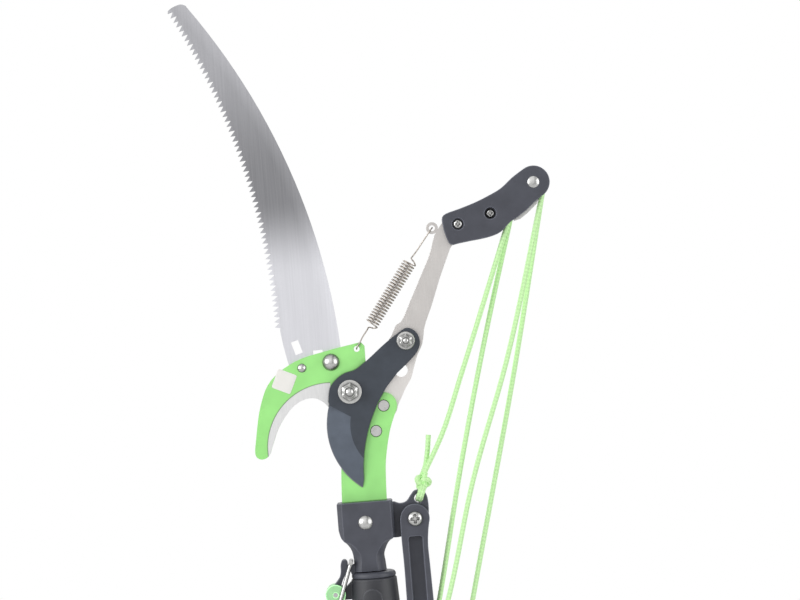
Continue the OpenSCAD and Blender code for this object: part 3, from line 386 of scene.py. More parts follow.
def cross_recess(width, span, depth):
    """A change for turned(): two crossed grooves sunk into the top, with sloping walls and ends."""
    wall, end = 0.25, 0.8

    def change(radius, height, angle):
        x, y = np.abs(radius * np.cos(angle)), np.abs(radius * np.sin(angle))
        grooves = [np.clip((width - across) / wall, 0, 1) * np.clip((span - along) / end, 0, 1)
                   for across, along in ((x, y), (y, x))]
        return radius, height - depth * np.maximum(*grooves) * (height > 0)
    return change


# Materials

def feed(node, inputs):
    """Sets a node's inputs to values, or links them to sockets or to the first outputs of nodes."""
    for name, value in inputs.items():
        if isinstance(value, bpy.types.Node):
            value = value.outputs[0]
        if isinstance(value, bpy.types.NodeSocket):
            node.id_data.links.new(value, node.inputs[name])
        else:
            node.inputs[name].default_value = value


def add(tree, kind, inputs=None, **settings):
    """A node with its settings and inputs; kind is its type without the leading ShaderNode."""
    made = tree.nodes.new("ShaderNode" + kind)
    for name, value in settings.items():
        setattr(made, name, value)
    feed(made, inputs or {})
    return made


def per(size):
    """Pattern scale for features of a size in millimetres."""
    return 1 / (size * MM)


def finished(made, inputs):
    """A material with its shader's inputs fed."""
    feed(made.node_tree.nodes["Principled BSDF"], inputs)
    return made


def surface(name, inputs):
    """A new material with its tree and the piece's own coordinates in metres; inputs go on its shader."""
    made = bpy.data.materials.new(name)
    made.use_nodes = True
    return finished(made, inputs), made.node_tree, add(made.node_tree, "TexCoord").outputs["Object"]


def mottled(tree, place, size, detail, dark, pale):
    """Clouds of a size in millimetres, and the shade from dark to pale that they give."""
    cloud = add(tree, "TexNoise", {"Vector": place, "Scale": per(size), "Detail": detail})
    shade = add(tree, "MapRange", {0: cloud, 1: 0.3, 2: 0.7, 3: dark, 4: pale})
    return cloud, shade


def drawn_lines(tree, place, turn, sizes, detail):
    """Tool marks: clouds drawn out to sizes in millimetres along three axes, turned about y by degrees."""
    lie = add(tree, "Mapping", {0: place, "Rotation": (0, math.radians(turn), 0),
                                "Scale": [per(size) for size in sizes]})
    return add(tree, "TexNoise", {"Vector": lie, "Scale": 1.0, "Detail": detail})


def reach_from(tree, place, centre):
    """Distance from the line along y through a centre."""
    flat = add(tree, "VectorMath", {0: place, 1: (1, 0, 1)}, operation="MULTIPLY")
    axis = row((centre[0], 0, centre[1]))
    reach = add(tree, "VectorMath", {0: flat, 1: axis}, operation="DISTANCE")
    return reach.outputs["Value"]


def between_heights(tree, place, heights, low, high):
    """A value that goes smoothly from low to high between two heights above the seam."""
    rise = add(tree, "SeparateXYZ", {0: place})
    start, end = (seam_z + height * MM for height in heights)
    return add(tree, "MapRange", {0: rise.outputs[2], 1: start, 2: end, 3: low, 4: high},
               interpolation_type="SMOOTHSTEP")


def painted_nook_shade(tree, depth, closed, clear, darkest):
    """Painted shade in nooks of a depth in mm, from ambient occlusion: darkest where closed, full where clear."""
    nook = add(tree, "AmbientOcclusion", {"Distance": depth * MM}, samples=8)
    return add(tree, "MapRange", {0: nook.outputs["AO"], 1: closed, 2: clear, 3: darkest, 4: 1.0})


def eased_relief(tree, height, strength, depth, easing):
    """Normals of a fine relief on a surface with eased edges; its depth and the easing are in mm."""
    edge = add(tree, "Bevel", {"Radius": easing * MM}, samples=4)
    return add(tree, "Bump", {"Strength": strength, "Distance": depth * MM, "Height": height,
                              "Normal": edge})


def powder_coated_steel(name, colour):
    """Powder-coated steel: an even baked coat, soft gloss, faint orange peel and thin bright edges.

    The jaw's land, inside its circle and sunk below the front face, is ground back to bare steel with a painted
    shadow line along its rim, and painted shade darkens the nooks round rivets and under the blade.
    """
    made, tree, place = surface(name, {"Roughness": 0.36})
    _, shade = mottled(tree, place, 22, 2.0, 0.93, 1.05)
    coat = add(tree, "VectorMath", {0: colour, "Scale": shade}, operation="SCALE")
    reach = reach_from(tree, place, LAND_CENTRE)
    inside = add(tree, "Math", {0: reach, 1: LAND_RADIUS * MM}, operation="LESS_THAN")
    part = add(tree, "SeparateXYZ", {0: place})
    sunk = add(tree, "Math", {0: part.outputs[1], 1: LAND_Y * MM, 2: 0.1 * MM}, operation="COMPARE")
    left = add(tree, "Math", {0: part.outputs[0], 1: LAND_END * MM}, operation="LESS_THAN")
    land = add(tree, "Math", {0: inside, 1: sunk}, operation="MULTIPLY")
    bare = add(tree, "Math", {0: land, 1: left}, operation="MULTIPLY")
    grind = drawn_lines(tree, place, 35, (0.6, 0.6, 14), 3.0)
    ground = add(tree, "MapRange", {0: grind, 3: 0.72, 4: 0.92})
    tone = add(tree, "Mix", {0: bare, 6: coat, 7: ground}, data_type="RGBA")
    # painted shade: darker in the nooks round rivets and under the blade
    nook_shade = painted_nook_shade(tree, 1.6, 0.45, 0.88, 0.18)
    # painted shadow: a dark line along the land's rim, where it steps down from the coat
    rim = add(tree, "Math", {0: reach, 1: LAND_RADIUS * MM, 2: 0.4 * MM}, operation="COMPARE")
    front = add(tree, "Math", {0: part.outputs[1], 1: 0.0}, operation="LESS_THAN")
    shown = add(tree, "Math", {0: left, 1: front}, operation="MULTIPLY")
    line = add(tree, "Math", {0: rim, 1: shown}, operation="MULTIPLY")
    rim_shadow = add(tree, "MapRange", {0: line, 3: 1.0, 4: 0.62})
    coat_shade = add(tree, "Math", {0: nook_shade, 1: rim_shadow}, operation="MULTIPLY")
    shaded_coat = add(tree, "VectorMath", {0: tone.outputs[2], "Scale": coat_shade}, operation="SCALE")
    metal = add(tree, "Math", {0: bare, 1: 0.4}, operation="MULTIPLY")
    peel = add(tree, "TexNoise", {"Vector": place, "Scale": per(1.6), "Detail": 1.0})
    return finished(made, {"Base Color": shaded_coat, "Metallic": metal,
                           "Normal": eased_relief(tree, peel, 0.12, 0.1, 0.35)})


def ground_saw_steel(name, colour):
    """Hardened saw steel, surface ground: fine lines along the blade, a brighter taper behind the back edge.

    Tooth tips are ground again after hardening, so they are brighter. The heel is paler and the toe brighter than
    the rest: painted reflections of the lamps. The grind is drawn coarser than life to show.
    """
    made, tree, place = surface(name, {"Metallic": 1.0})
    lines = drawn_lines(tree, place, 18, (0.9, 0.9, 60), 4.0)
    taper = add(tree, "MapRange", {
        0: reach_from(tree, place, SAW_BACK_CENTRE), 1: (SAW_BACK_RADIUS - 10) * MM,
        2: (SAW_BACK_RADIUS - 2) * MM, 3: 0.0, 4: 0.09})
    tips = add(tree, "MapRange", {
        0: reach_from(tree, place, SAW_TEETH_CENTRE), 1: (SAW_TEETH_RADIUS + 3) * MM,
        2: (SAW_TEETH_RADIUS + 5) * MM, 3: 0.08, 4: 0.0})
    shade = add(tree, "MapRange", {0: lines, 1: 0.3, 2: 0.7, 3: 0.38, 4: 0.44})
    # painted reflections: the heel paler and the toe brighter than the rest
    heel_reflection = between_heights(tree, place, SAW_HEEL, 0.72, 0.0)
    toe_reflection = between_heights(tree, place, SAW_TOE, 0.0, 0.24)
    painted_reflections = add(tree, "Math", {0: heel_reflection, 1: toe_reflection}, operation="ADD")
    edges = add(tree, "Math", {0: taper, 1: tips}, operation="ADD")
    extra = add(tree, "Math", {0: painted_reflections, 1: edges}, operation="ADD")
    total = add(tree, "Math", {0: shade, 1: extra}, operation="ADD")
    tone = add(tree, "VectorMath", {0: colour, "Scale": total}, operation="SCALE")
    polish = add(tree, "MapRange", {0: lines, 3: 0.30, 4: 0.46})
    bump = add(tree, "Bump", {"Strength": 0.1, "Distance": 0.05 * MM, "Height": lines})
    return finished(made, {"Base Color": tone, "Roughness": polish, "Normal": bump})


def brushed_metal(name, colour, along, roughness, painted_highlight=0.0):
    """Rolled and brushed sheet or tube: short fine lines along one axis, as coarse as they need to show.

    The last argument is how much paler it is at the lever's foot: a painted reflection of the lamps.
    """
    made, tree, place = surface(name, {"Metallic": 1.0})
    sizes = [0.7] * 3
    sizes[along] = 25
    lines = drawn_lines(tree, place, -22 if along == 2 else 0, sizes, 3.0)
    patches = add(tree, "TexNoise", {"Vector": place, "Scale": per(30), "Detail": 2.0})
    both = add(tree, "Math", {0: lines, 1: patches}, operation="ADD")
    shade = add(tree, "MapRange", {0: both, 1: 0.6, 2: 1.4, 3: 0.90, 4: 1.04})
    # painted reflection: paler towards the lever's foot
    foot = between_heights(tree, place, LEVER_FOOT, painted_highlight, 0.0)
    total = add(tree, "Math", {0: shade, 1: foot}, operation="ADD")
    tone = add(tree, "VectorMath", {0: colour, "Scale": total}, operation="SCALE")
    polish = add(tree, "MapRange", {0: lines, 3: roughness - 0.06, 4: roughness + 0.08})
    return finished(made, {"Base Color": tone, "Roughness": polish,
                           "Normal": eased_relief(tree, lines, 0.08, 0.05, 0.25)})


def coated_blade_steel(name, colour):
    """Fluoropolymer-coated steel: dark and satin, a painted highlight on the ground bevel, bare along the honed
    edge.
    """
    made, tree, place = surface(name, {"Roughness": 0.42})
    _, shade = mottled(tree, place, 9, 3.0, 0.9, 1.1)
    coat = add(tree, "VectorMath", {0: colour, "Scale": shade}, operation="SCALE")
    lie = add(tree, "SeparateXYZ", {0: add(tree, "NewGeometry").outputs["True Normal"]})
    # painted highlight: the bevel's faces, turned slightly from the front, drawn paler
    bevel = add(tree, "MapRange", {0: lie.outputs[1], 1: -0.998, 2: -0.993, 3: 1.0, 4: 2.1})
    front = add(tree, "MapRange", {0: lie.outputs[1], 1: -0.9, 2: -0.8, 3: 1.0, 4: 0.0})
    bevel_highlight = add(tree, "Mix", {0: front, 2: 1.0, 3: bevel}, data_type="FLOAT")
    highlit_coat = add(tree, "VectorMath", {0: coat, "Scale": bevel_highlight}, operation="SCALE")
    honed = add(tree, "MapRange", {
        0: reach_from(tree, place, EDGE_CENTRE), 1: (EDGE_RADIUS - 0.7) * MM, 2: (EDGE_RADIUS - 0.3) * MM})
    rise = add(tree, "SeparateXYZ", {0: place})
    low = add(tree, "Math", {0: rise.outputs[2], 1: seam_z + EDGE_TOP * MM}, operation="LESS_THAN")
    bare = add(tree, "Math", {0: honed, 1: low}, operation="MULTIPLY")
    tone = add(tree, "Mix", {0: bare, 6: highlit_coat, 7: (*linear("#8b8d92"), 1.0)}, data_type="RGBA")
    peel = add(tree, "TexNoise", {"Vector": place, "Scale": per(0.9), "Detail": 2.0})
    return finished(made, {"Base Color": tone.outputs[2],
                           "Normal": eased_relief(tree, peel, 0.15, 0.06, 0.3)})


def zinc_plate(name, colour, roughness, flank_shade_level=1.0):
    """Bright zinc plate: a clear metal shine, slightly clouded, soft at its edges, with painted shade in the
    corners and on steep flanks.

    The last argument is the brightness left where a head falls away from front or back: painted shade.
    """
    made, tree, place = surface(name, {"Metallic": 1.0})
    cloud, shade = mottled(tree, place, 3.5, 3.0, 0.86, 1.04)
    nook_shade = painted_nook_shade(tree, 2.5, 0.45, 0.9, 0.12)
    # painted shade: heads darker on their steep flanks, for the darker room those sides reflect
    lie = add(tree, "SeparateXYZ", {0: add(tree, "NewGeometry").outputs["Normal"]})
    facing = add(tree, "Math", {0: lie.outputs[1]}, operation="ABSOLUTE")
    flank_shade = add(tree, "MapRange", {0: facing, 1: 0.66, 2: 0.98, 3: flank_shade_level, 4: 1.0})
    flank_and_nook_shade = add(tree, "Math", {0: nook_shade, 1: flank_shade}, operation="MULTIPLY")
    total = add(tree, "Math", {0: shade, 1: flank_and_nook_shade}, operation="MULTIPLY")
    tone = add(tree, "VectorMath", {0: colour, "Scale": total}, operation="SCALE")
    polish = add(tree, "MapRange", {0: cloud, 3: roughness - 0.05, 4: roughness + 0.1})
    edge = add(tree, "Bevel", {"Radius": 0.25 * MM}, samples=4)
    return finished(made, {"Base Color": tone, "Roughness": polish, "Normal": edge})


def moulded_plastic(name, colour, grain_size, roughness):
    """Moulded plastic: a fine eroded grain, uneven gloss, a painted highlight along its edges and painted shade in
    the nooks.
    """
    made, tree, place = surface(name, {})
    patches, shade = mottled(tree, place, 14, 3.0, 0.88, 1.12)
    edge = add(tree, "Bevel", {"Radius": 1.4 * MM}, samples=6)
    lie = add(tree, "NewGeometry").outputs["Normal"]
    turn = add(tree, "VectorMath", {0: edge, 1: lie}, operation="DOT_PRODUCT")
    # painted highlight: edges drawn paler, where lamps catch them
    edge_highlight = add(tree, "MapRange", {0: turn.outputs["Value"], 1: 0.82, 2: 0.995, 3: 2.4, 4: 0.0})
    painted_highlight = add(tree, "Math", {0: shade, 1: edge_highlight}, operation="ADD")
    # painted shade in the nooks
    nook_shade = painted_nook_shade(tree, 1.6, 0.3, 0.85, 0.4)
    total = add(tree, "Math", {0: painted_highlight, 1: nook_shade}, operation="MULTIPLY")
    tone = add(tree, "VectorMath", {0: colour, "Scale": total}, operation="SCALE")
    gloss = add(tree, "MapRange", {0: patches, 3: roughness - 0.07, 4: roughness + 0.07})
    grain = add(tree, "TexNoise", {"Vector": place, "Scale": per(grain_size), "Detail": 2.0})
    bump = add(tree, "Bump", {"Strength": 0.25, "Distance": 0.05 * MM, "Height": grain, "Normal": edge})
    return finished(made, {"Base Color": tone, "Roughness": gloss, "Normal": bump})


def braided_rope(name, colour, pitch):
    """Braided polyester: painted shade darkens the valleys between the braid's diamonds, the fibre has a soft
    sheen.

    The diamonds themselves are in the mesh, and the painted shade follows the two sines of the same braid.
    """
    made, tree, place = surface(name, {"Roughness": 0.75, "Sheen Weight": 0.25, "Sheen Roughness": 0.5})
    rope = add(tree, "SeparateXYZ", {0: add(tree, "UVMap", uv_map="rope")})
    turns = add(tree, "Math", {0: rope.outputs[1], 1: 1 / pitch}, operation="MULTIPLY")
    waves = []
    for way in ("ADD", "SUBTRACT"):
        phase = add(tree, "Math", {0: turns, 1: rope.outputs[0]}, operation=way)
        beat = add(tree, "Math", {0: phase, 1: BRAID_STRANDS * math.pi}, operation="MULTIPLY")
        waves.append(add(tree, "Math", {0: beat}, operation="SINE"))
    crest = add(tree, "Math", {0: waves[0], 1: waves[1]}, operation="MULTIPLY")
    # painted shade in the braid's valleys
    shade = add(tree, "MapRange", {0: crest, 1: -0.9, 2: 0.6, 3: 0.86, 4: 1.03})
    tone = add(tree, "VectorMath", {0: colour, "Scale": shade}, operation="SCALE")
    yarn = add(tree, "TexNoise", {"Vector": place, "Scale": per(0.35), "Detail": 2.0})
    bump = add(tree, "Bump", {"Strength": 0.4, "Distance": 0.1 * MM, "Height": yarn})
    return finished(made, {"Base Color": tone, "Normal": bump})


def label_vinyl(name):
    """Label vinyl, left blank: off-white, slightly glossy, with a faint ripple from its backing."""
    made, tree, place = surface(name, {"Roughness": 0.3})
    ripple = add(tree, "TexNoise", {"Vector": place, "Scale": per(5), "Detail": 2.0})
    shade = add(tree, "MapRange", {0: ripple, 3: 0.94, 4: 1.0})
    tone = add(tree, "VectorMath", {0: linear("#f3f1ec"), "Scale": shade}, operation="SCALE")
    bump = add(tree, "Bump", {"Strength": 0.1, "Distance": 0.1 * MM, "Height": ripple})
    return finished(made, {"Base Color": tone, "Normal": bump})


# Motion of the rope

def swung(point, joint, degrees):
    """A point turned about a hinge of the frame that lies along y, by the right-hand rule."""
    pivot = np.array(joint["pos_m"])
    angle = math.radians(degrees)
    x, _, z = point - pivot
    return pivot + np.array((x * math.cos(angle) + z * math.sin(angle), point[1] - pivot[1],
                             z * math.cos(angle) - x * math.sin(angle)))


def draw_in(strand, anchor, far, far_then, slip=0.0):
    """Gives a strand a mesh of its own. It works out the drop from far to far_then and moves the anchor back
    by slip, but moves no points.
    """
    drop = far - far_then
    anchor = anchor - slip * drop / np.linalg.norm(drop)
    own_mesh(strand)


# Operators

class PRUNER_OT_stage(bpy.types.Operator):
    """Camera square to the head's front, soft studio lamps, white surroundings and a pale floor"""

    bl_idname = "pruner.stage"
    bl_label = "Stage"

    def execute(self, context):
        aim = Vector(row(AIM))
        self.camera(context, aim)
        self.lamps(context, aim)
        self.surroundings(context)
        self.floor(context)
        return {"FINISHED"}

    def camera(self, context, aim):
        """A camera that leans with the pole, so that the head's front is square to it."""
        settings = context.scene.pruner
        lean = settings.lean
        right = Vector((math.cos(lean), 0, -math.sin(lean)))
        up = Vector((math.sin(lean), 0, math.cos(lean)))
        back = Vector((0, -1, 0))
        camera = bpy.data.objects.new("camera", bpy.data.cameras.new("camera"))
        camera.data.sensor_width = SENSOR
        camera.data.lens = SENSOR * settings.camera_distance / settings.field_width
        facing = Matrix((right, up, back)).transposed().to_4x4()
        camera.matrix_world = Matrix.Translation(aim + back * settings.camera_distance) @ facing
        context.scene.collection.objects.link(camera)
        context.scene.camera = camera
        context.scene.view_settings.view_transform = "Standard"

    def lamps(self, context, aim):
        """Soft square lamps that face the aim."""
        for name, place, size, power in LAMPS:
            lamp = bpy.data.objects.new(name, bpy.data.lights.new(name, "AREA"))
            lamp.data.energy = power
            lamp.data.size = size
            lamp.location = aim + Vector(place)
            lamp.rotation_euler = (-Vector(place)).to_track_quat("-Z", "Y").to_euler()
            context.scene.collection.objects.link(lamp)

    def surroundings(self, context):
        """White to the camera, an even fill to matt surfaces, and a room with a dark flag to shiny ones."""
        world = bpy.data.worlds.new("studio")
        context.scene.world = world
        world.use_nodes = True
        tree = world.node_tree
        tree.nodes.clear()
        path = add(tree, "LightPath").outputs
        clear = add(tree, "Math", {0: path["Is Glossy Ray"], 1: path["Is Transmission Ray"]},
                    operation="MAXIMUM")
        seen = add(tree, "Math", {0: clear, 1: path["Is Camera Ray"]}, operation="MAXIMUM")
        way = add(tree, "SeparateXYZ", {0: add(tree, "TexCoord").outputs["Generated"]})
        room = add(tree, "MapRange", {0: way.outputs[1], 1: -1.0, 2: -0.4, 3: 0.94, 4: 1.0})
        sky = add(tree, "MapRange", {0: way.outputs[2], 1: -0.8, 2: 0.4, 3: 0.35, 4: 1.1})
        aside = add(tree, "Math", {0: way.outputs[0], 1: 0.4}, operation="SUBTRACT")
        away = add(tree, "Math", {0: aside}, operation="ABSOLUTE")
        flag = add(tree, "MapRange", {0: away, 1: 0.06, 2: 0.2, 3: 0.2, 4: 1.0})
        wall = add(tree, "Math", {0: room, 1: flag}, operation="MULTIPLY")
        mirrored = add(tree, "Math", {0: wall, 1: sky}, operation="MULTIPLY")
        glossy = add(tree, "Mix", {0: path["Is Camera Ray"], 2: mirrored, 3: 1.0}, data_type="FLOAT")
        strength = add(tree, "Mix", {0: seen, 2: 0.55, 3: glossy}, data_type="FLOAT")
        light = add(tree, "Background", {"Color": (1, 1, 1, 1), "Strength": strength})
        add(tree, "OutputWorld", {"Surface": light})

    def floor(self, context):
        """A plain pale square under the pole's end."""
        reach, low = FLOOR_REACH, cad_box[0].z
        corners = [(-reach, -reach, low), (reach, -reach, low), (reach, reach, low), (-reach, reach, low)]
        mesh = bpy.data.meshes.new("floor")
        mesh.from_pydata(corners, [], [(0, 1, 2, 3)])
        pale, tree, place = surface("pale studio floor", {"Roughness": 0.8})
        mottle = add(tree, "TexNoise", {"Vector": place, "Scale": per(120)})
        shade = add(tree, "MapRange", {0: mottle, 3: 0.80, 4: 0.84})
        mesh.materials.append(finished(pale, {"Base Color": shade}))
        floor = bpy.data.objects.new("floor", mesh)
        context.scene.collection.objects.link(floor)


class PRUNER_OT_rope(bpy.types.Operator):
    """Rope from the knot over the pulleys to the pull handle, a piece for each stretch"""

    bl_idname = "pruner.rope"
    bl_label = "Rope"

    def execute(self, context):
        settings = context.scene.pruner
        thick, pitch = settings.rope_diameter, settings.braid_pitch
        fibre = braided_rope("braided polyester", settings.rope_green, pitch)

        def stretch(name, path, body, replaces):
            vertices, faces = tube(path, thick / 2, ROPE_SIDES, pitch)
            uvs = grid_uvs(len(path), ROPE_SIDES, path_length(path))
            return add_piece(name, vertices, faces, fibre, body, "rope_fibre", (replaces,), uvs)

        knot = self.knot(fibre, thick, pitch)
        lever, arm = joints["lever_swing"], joints["arm_swing"]
        closed, lifted = lever["range_deg"][1], arm["range_deg"][0]

        tie = smooth_path(row(TIE_ROUTE), ROPE_STEP)
        piece = stretch("rope_to_knot", tie, "lever", "rope_tie_strand")
        draw_in(piece, tie[-1], tie[0], swung(tie[0], lever, -closed))

        for name, route, node, slip in (("rope_front_run", FRONT_ROUTE, "rope_front_strand", FRONT_SLIP),
                                        ("rope_back_run", BACK_ROUTE, "rope_back_strand", BACK_SLIP)):
            path = smooth_path(row(route), ROPE_STEP)
            piece = stretch(name, path, "lever", node)
            draw_in(piece, path[0], path[-1], swung(swung(path[-1], arm, lifted), lever, -closed), slip)

        pull = smooth_path(row(PULL_ROUTE), ROPE_STEP)
        piece = stretch("rope_to_handle", pull, "upper", "rope_pull_strand")
        draw_in(piece, pull[-1], pull[0], swung(pull[0], lever, closed))

        for name, left, right, y, node in (
                ("rope_front_bend", LEFT_EXIT, RIGHT_EXIT, SHEAVE_FRONT_Y, "rope_front_wrap"),
                ("rope_back_bend", BACK_EXIT, PULL_EXIT, SHEAVE_BACK_Y, "rope_back_wrap")):
            angle = np.radians(np.linspace(*SHEAVE_WRAP, BEND_POINTS))
            over = np.stack([SHEAVE_AXLE[0] + SHEAVE_RADIUS * np.cos(angle), np.full(BEND_POINTS, y),
                             SHEAVE_AXLE[1] + SHEAVE_RADIUS * np.sin(angle)], -1)
            line = np.vstack([[(left[0], y, left[1])], over, [(right[0], y, right[1])]])
            path = smooth_path(row(line), ROPE_STEP)
            stretch(name, path, "lever", node)

        angle = np.radians(np.linspace(180, 360, BEND_POINTS))
        under = row(np.stack([np.full(BEND_POINTS, LOW_AXLE[0]), LOW_AXLE[1] + LOW_RADIUS * np.cos(angle),
                              LOW_AXLE[2] + LOW_RADIUS * np.sin(angle)], -1))
        stretch("rope_low_bend", under, "arm", "rope_low_wrap")
        return {"FINISHED"}

    def knot(self, fibre, thick, pitch):
        """Two turns through the eye, a tight overhand knot above them, and the tail.

        The knot's turns are a trefoil: (sin t + 2 sin 2t, sin 3t, cos t - 2 cos 2t) times its size, leaning
        with the strand; a turn through the eye is a circle that leans with it too.
        """
        round_turn = np.linspace(0, 2 * math.pi, 120)
        rise = np.array((math.sin(KNOT_LEAN), 0, math.cos(KNOT_LEAN)))
        side = np.array((math.cos(KNOT_LEAN), 0, -math.sin(KNOT_LEAN)))
        deep = np.array((0, 1, 0))
        hang = (np.outer(np.cos(round_turn), deep) * LOOP_RADIUS
                + np.outer(1 + np.sin(round_turn), rise) * LOOP_RADIUS)
        loops = [np.array(EYE) + across * side + hang for across in LOOP_ACROSS]
        turn = round_turn + KNOT_TURN
        trefoil = np.array(KNOT) + np.outer(KNOT_DEPTH * np.sin(3 * turn), deep) + KNOT_SIZE * (
            np.outer(np.sin(turn) + 2 * np.sin(2 * turn), side)
            + np.outer(np.cos(turn) - 2 * np.cos(2 * turn), rise))
        lead = np.array(KNOT) + np.outer(KNOT_LEAD, rise)
        paths = [smooth_path(row(line), ROPE_STEP) for line in (*loops, trefoil, lead, TAIL_ROUTE)]
        vertices, faces = joined(*[tube(path, thick / 2, ROPE_SIDES, pitch) for path in paths])
        uvs = np.vstack([grid_uvs(len(path), ROPE_SIDES, path_length(path)) for path in paths])
        return add_piece("rope_end_knot", vertices, faces, fibre, "upper", "rope_fibre", ("rope_knot",), uvs)


class PRUNER_OT_spring(bpy.types.Operator):
    """Return spring: one wire, from a hook in the plate through the coil to a hook in the lever"""

    bl_idname = "pruner.spring"
    bl_label = "Return spring"

    def execute(self, context):
        """A wire along a helix, low end + along * axis + reach * (cos * side + sin * y), and its hooks."""
        settings = context.scene.pruner
        wire = settings.wire_diameter / MM
        radius = (settings.coil_diameter / MM - wire) / 2
        run = np.linalg.norm(SPRING_HIGH - SPRING_LOW)
        axis = (SPRING_HIGH - SPRING_LOW) / run
        side = np.cross(axis, (0, 1, 0))
        curls = settings.coil_curls

        def coil(along, reach, turn):
            return (SPRING_LOW + np.outer(along, axis) + np.outer(reach * np.cos(2 * math.pi * turn), side)
                    + np.outer(reach * np.sin(2 * math.pi * turn), (0, 1, 0)))

        turn = np.linspace(0.5, curls - 0.5, (curls - 1) * 20 + 1)
        body = coil(run * turn / curls, radius, turn)
        grow = np.array((1, 2, 3))
        shrink = grow[::-1]
        start = coil(-SPRING_TAPER + SPRING_TAPER / 4 * grow, radius * grow / 4, grow / 8)
        end = coil(run + SPRING_TAPER - SPRING_TAPER / 4 * shrink, radius * shrink / 4, -shrink / 8)
        foot = coil(np.array((-SPRING_TAPER,)), SPRING_NECK, np.array((0.0,)))
        top = coil(np.array((run + SPRING_TAPER,)), SPRING_NECK, np.array((0.0,)))
        low, high = SPRING_PLATE_HOLE, SPRING_LEVER_HOLE
        front, behind = -2.9, 1.3
        first = np.array((
            (low[0], 4.0, low[1]), (low[0], 0, low[1]), (low[0], front + 0.8, low[1] + 0.3),
            (low[0] + 0.8, front - 0.2, low[1] + 2), (3.5, front, 198.5), (6.5, front + 1.4, 203.5)))
        last = np.array((
            (66, behind + 0.3, 283), (71.2, behind - 0.2, 289.6), (high[0], behind + 0.8, high[1]),
            (high[0], 7.2, high[1])))
        path = smooth_path(row(np.vstack([first, foot, start, body, end, top, last])), SPRING_STEP)
        vertices, faces = tube(path, settings.wire_diameter / 2, SPRING_SIDES)
        bright = zinc_plate("drawn spring wire", linear("#b4aca4"), 0.26)
        piece = add_piece("spring_coil", vertices, faces, bright, None, "spring_steel", ("return_spring",))
        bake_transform(piece)
        return {"FINISHED"}


class PRUNER_OT_fasteners(bpy.types.Operator):
    """Lock nuts, the bolt ends in them, and cross-recessed screws"""

    bl_idname = "pruner.fasteners"
    bl_label = "Nuts and screws"

    def execute(self, context):
        settings = context.scene.pruner
        # the last number keeps this share of brightness on the heads' steep flanks: painted shade
        plate = zinc_plate("bright zinc plate", settings.zinc, 0.24, 0.42)
        for name, body, node, *sizes in NUTS:
            vertices, faces = self.nut(*sizes)
            add_piece(name, vertices, faces, plate, body, "zinc_steel", (node,), crease=30)
        for name, body, node, at, across in BOLT_ENDS:
            add_piece(name, *self.bolt_end(at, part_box(node)[0].y / MM, across), plate, body, "zinc_steel")
        through = HOUSING_NUT_END - HOUSING_FRONT
        heads = [self.screw((x, z), HOUSING_FRONT + sink, 7.6, 2.4, 4.0, through - sink)
                 for x, z, sink in HOUSING_SCREWS]
        add_piece("housing_cross_screws", *joined(*heads), plate, "lever", "zinc_steel", ("housing_screws",))
        head = self.screw(ARM_SCREW, ARM_FRONT, 11.8, 3.4, 6.0, ARM_NUT_END - ARM_FRONT)
        add_piece("arm_cross_screw", *head, plate, "upper", "zinc_steel", ("arm_screw",))
        return {"FINISHED"}

    def nut(self, at, seat, out, across, height, bore, mouth, flange, flange_height):
        """A hexagon nut: up the bore, out over a rounded collar, down the flats and out to the flange.

        Its mouth may be narrower than its bore, where the collar closes in over the bolt's end. The profile's
        last ring meets its first.
        """
        sides, rounding, cone = 96, 0.7, 0.34
        edge = across / 2 / math.cos(math.radians(30)) + 0.4
        collar = mouth / 2 + 0.15 * (across / 2 - mouth / 2)
        shoulder = height - 1.6
        top = [(collar + rounding * math.sin(a), height - rounding + rounding * math.cos(a))
               for a in np.linspace(0, math.pi / 2, 6)]
        rim = [(edge, shoulder - cone * (edge - collar)), (edge, flange_height + 0.3)]
        foot = [(edge, 0.0)]
        if flange:
            foot = [(flange / 2 - 0.5, flange_height), (flange / 2, flange_height - 0.5), (flange / 2, 0)]
        profile = [(bore / 2, 0.0), (bore / 2, height - 0.35), (mouth / 2, height - 0.3),
                   (mouth / 2 + 0.3, height), *top, (collar + 0.75, shoulder), *rim, *foot]
        hexagon = six_sided(across, flange_height + 0.1 if flange else -1, NUT_TURN)
        vertices, _ = turned(profile, sides, at, seat, out, hexagon)
        faces = np.array(grid_faces(len(profile) + 1, sides)[:-2]) % len(vertices)
        return vertices, faces.tolist()

    def bolt_end(self, at, end, across):
        """A bolt's rounded end: a circle's arc over its radius, and a short neck that sits in the bolt."""
        share = np.linspace(0.02, 1, 24)
        reach = across / 2 - 0.4
        dome = np.sqrt(np.maximum(0, 1 - 0.72 * share ** 2)) * reach
        profile = np.vstack([np.stack([reach * share, dome - dome[-1] + 0.1], -1), [(reach, -0.2)]])
        return turned(profile, 48, at, end, -1)

    def screw(self, at, seat, head_d, head_h, shank_d, shank):
        """A pan-head screw: its height is a circle's arc over its radius, with crossed grooves sunk in."""
        share = np.linspace(0.02, 1, 30)
        dome = np.sqrt(np.maximum(0, 1 - 0.82 * share ** 2)) - math.sqrt(0.18)
        dome = head_h * (0.35 + 0.65 * dome / dome[0])
        below = [(head_d / 2, 0.0), (shank_d / 2, 0.0), (shank_d / 2, -shank)]
        profile = np.vstack([np.stack([head_d / 2 * share, dome], -1), below])
        return turned(profile, 64, at, seat, -1, cross_recess(0.1 * head_d, 0.34 * head_d, 0.42 * head_h))


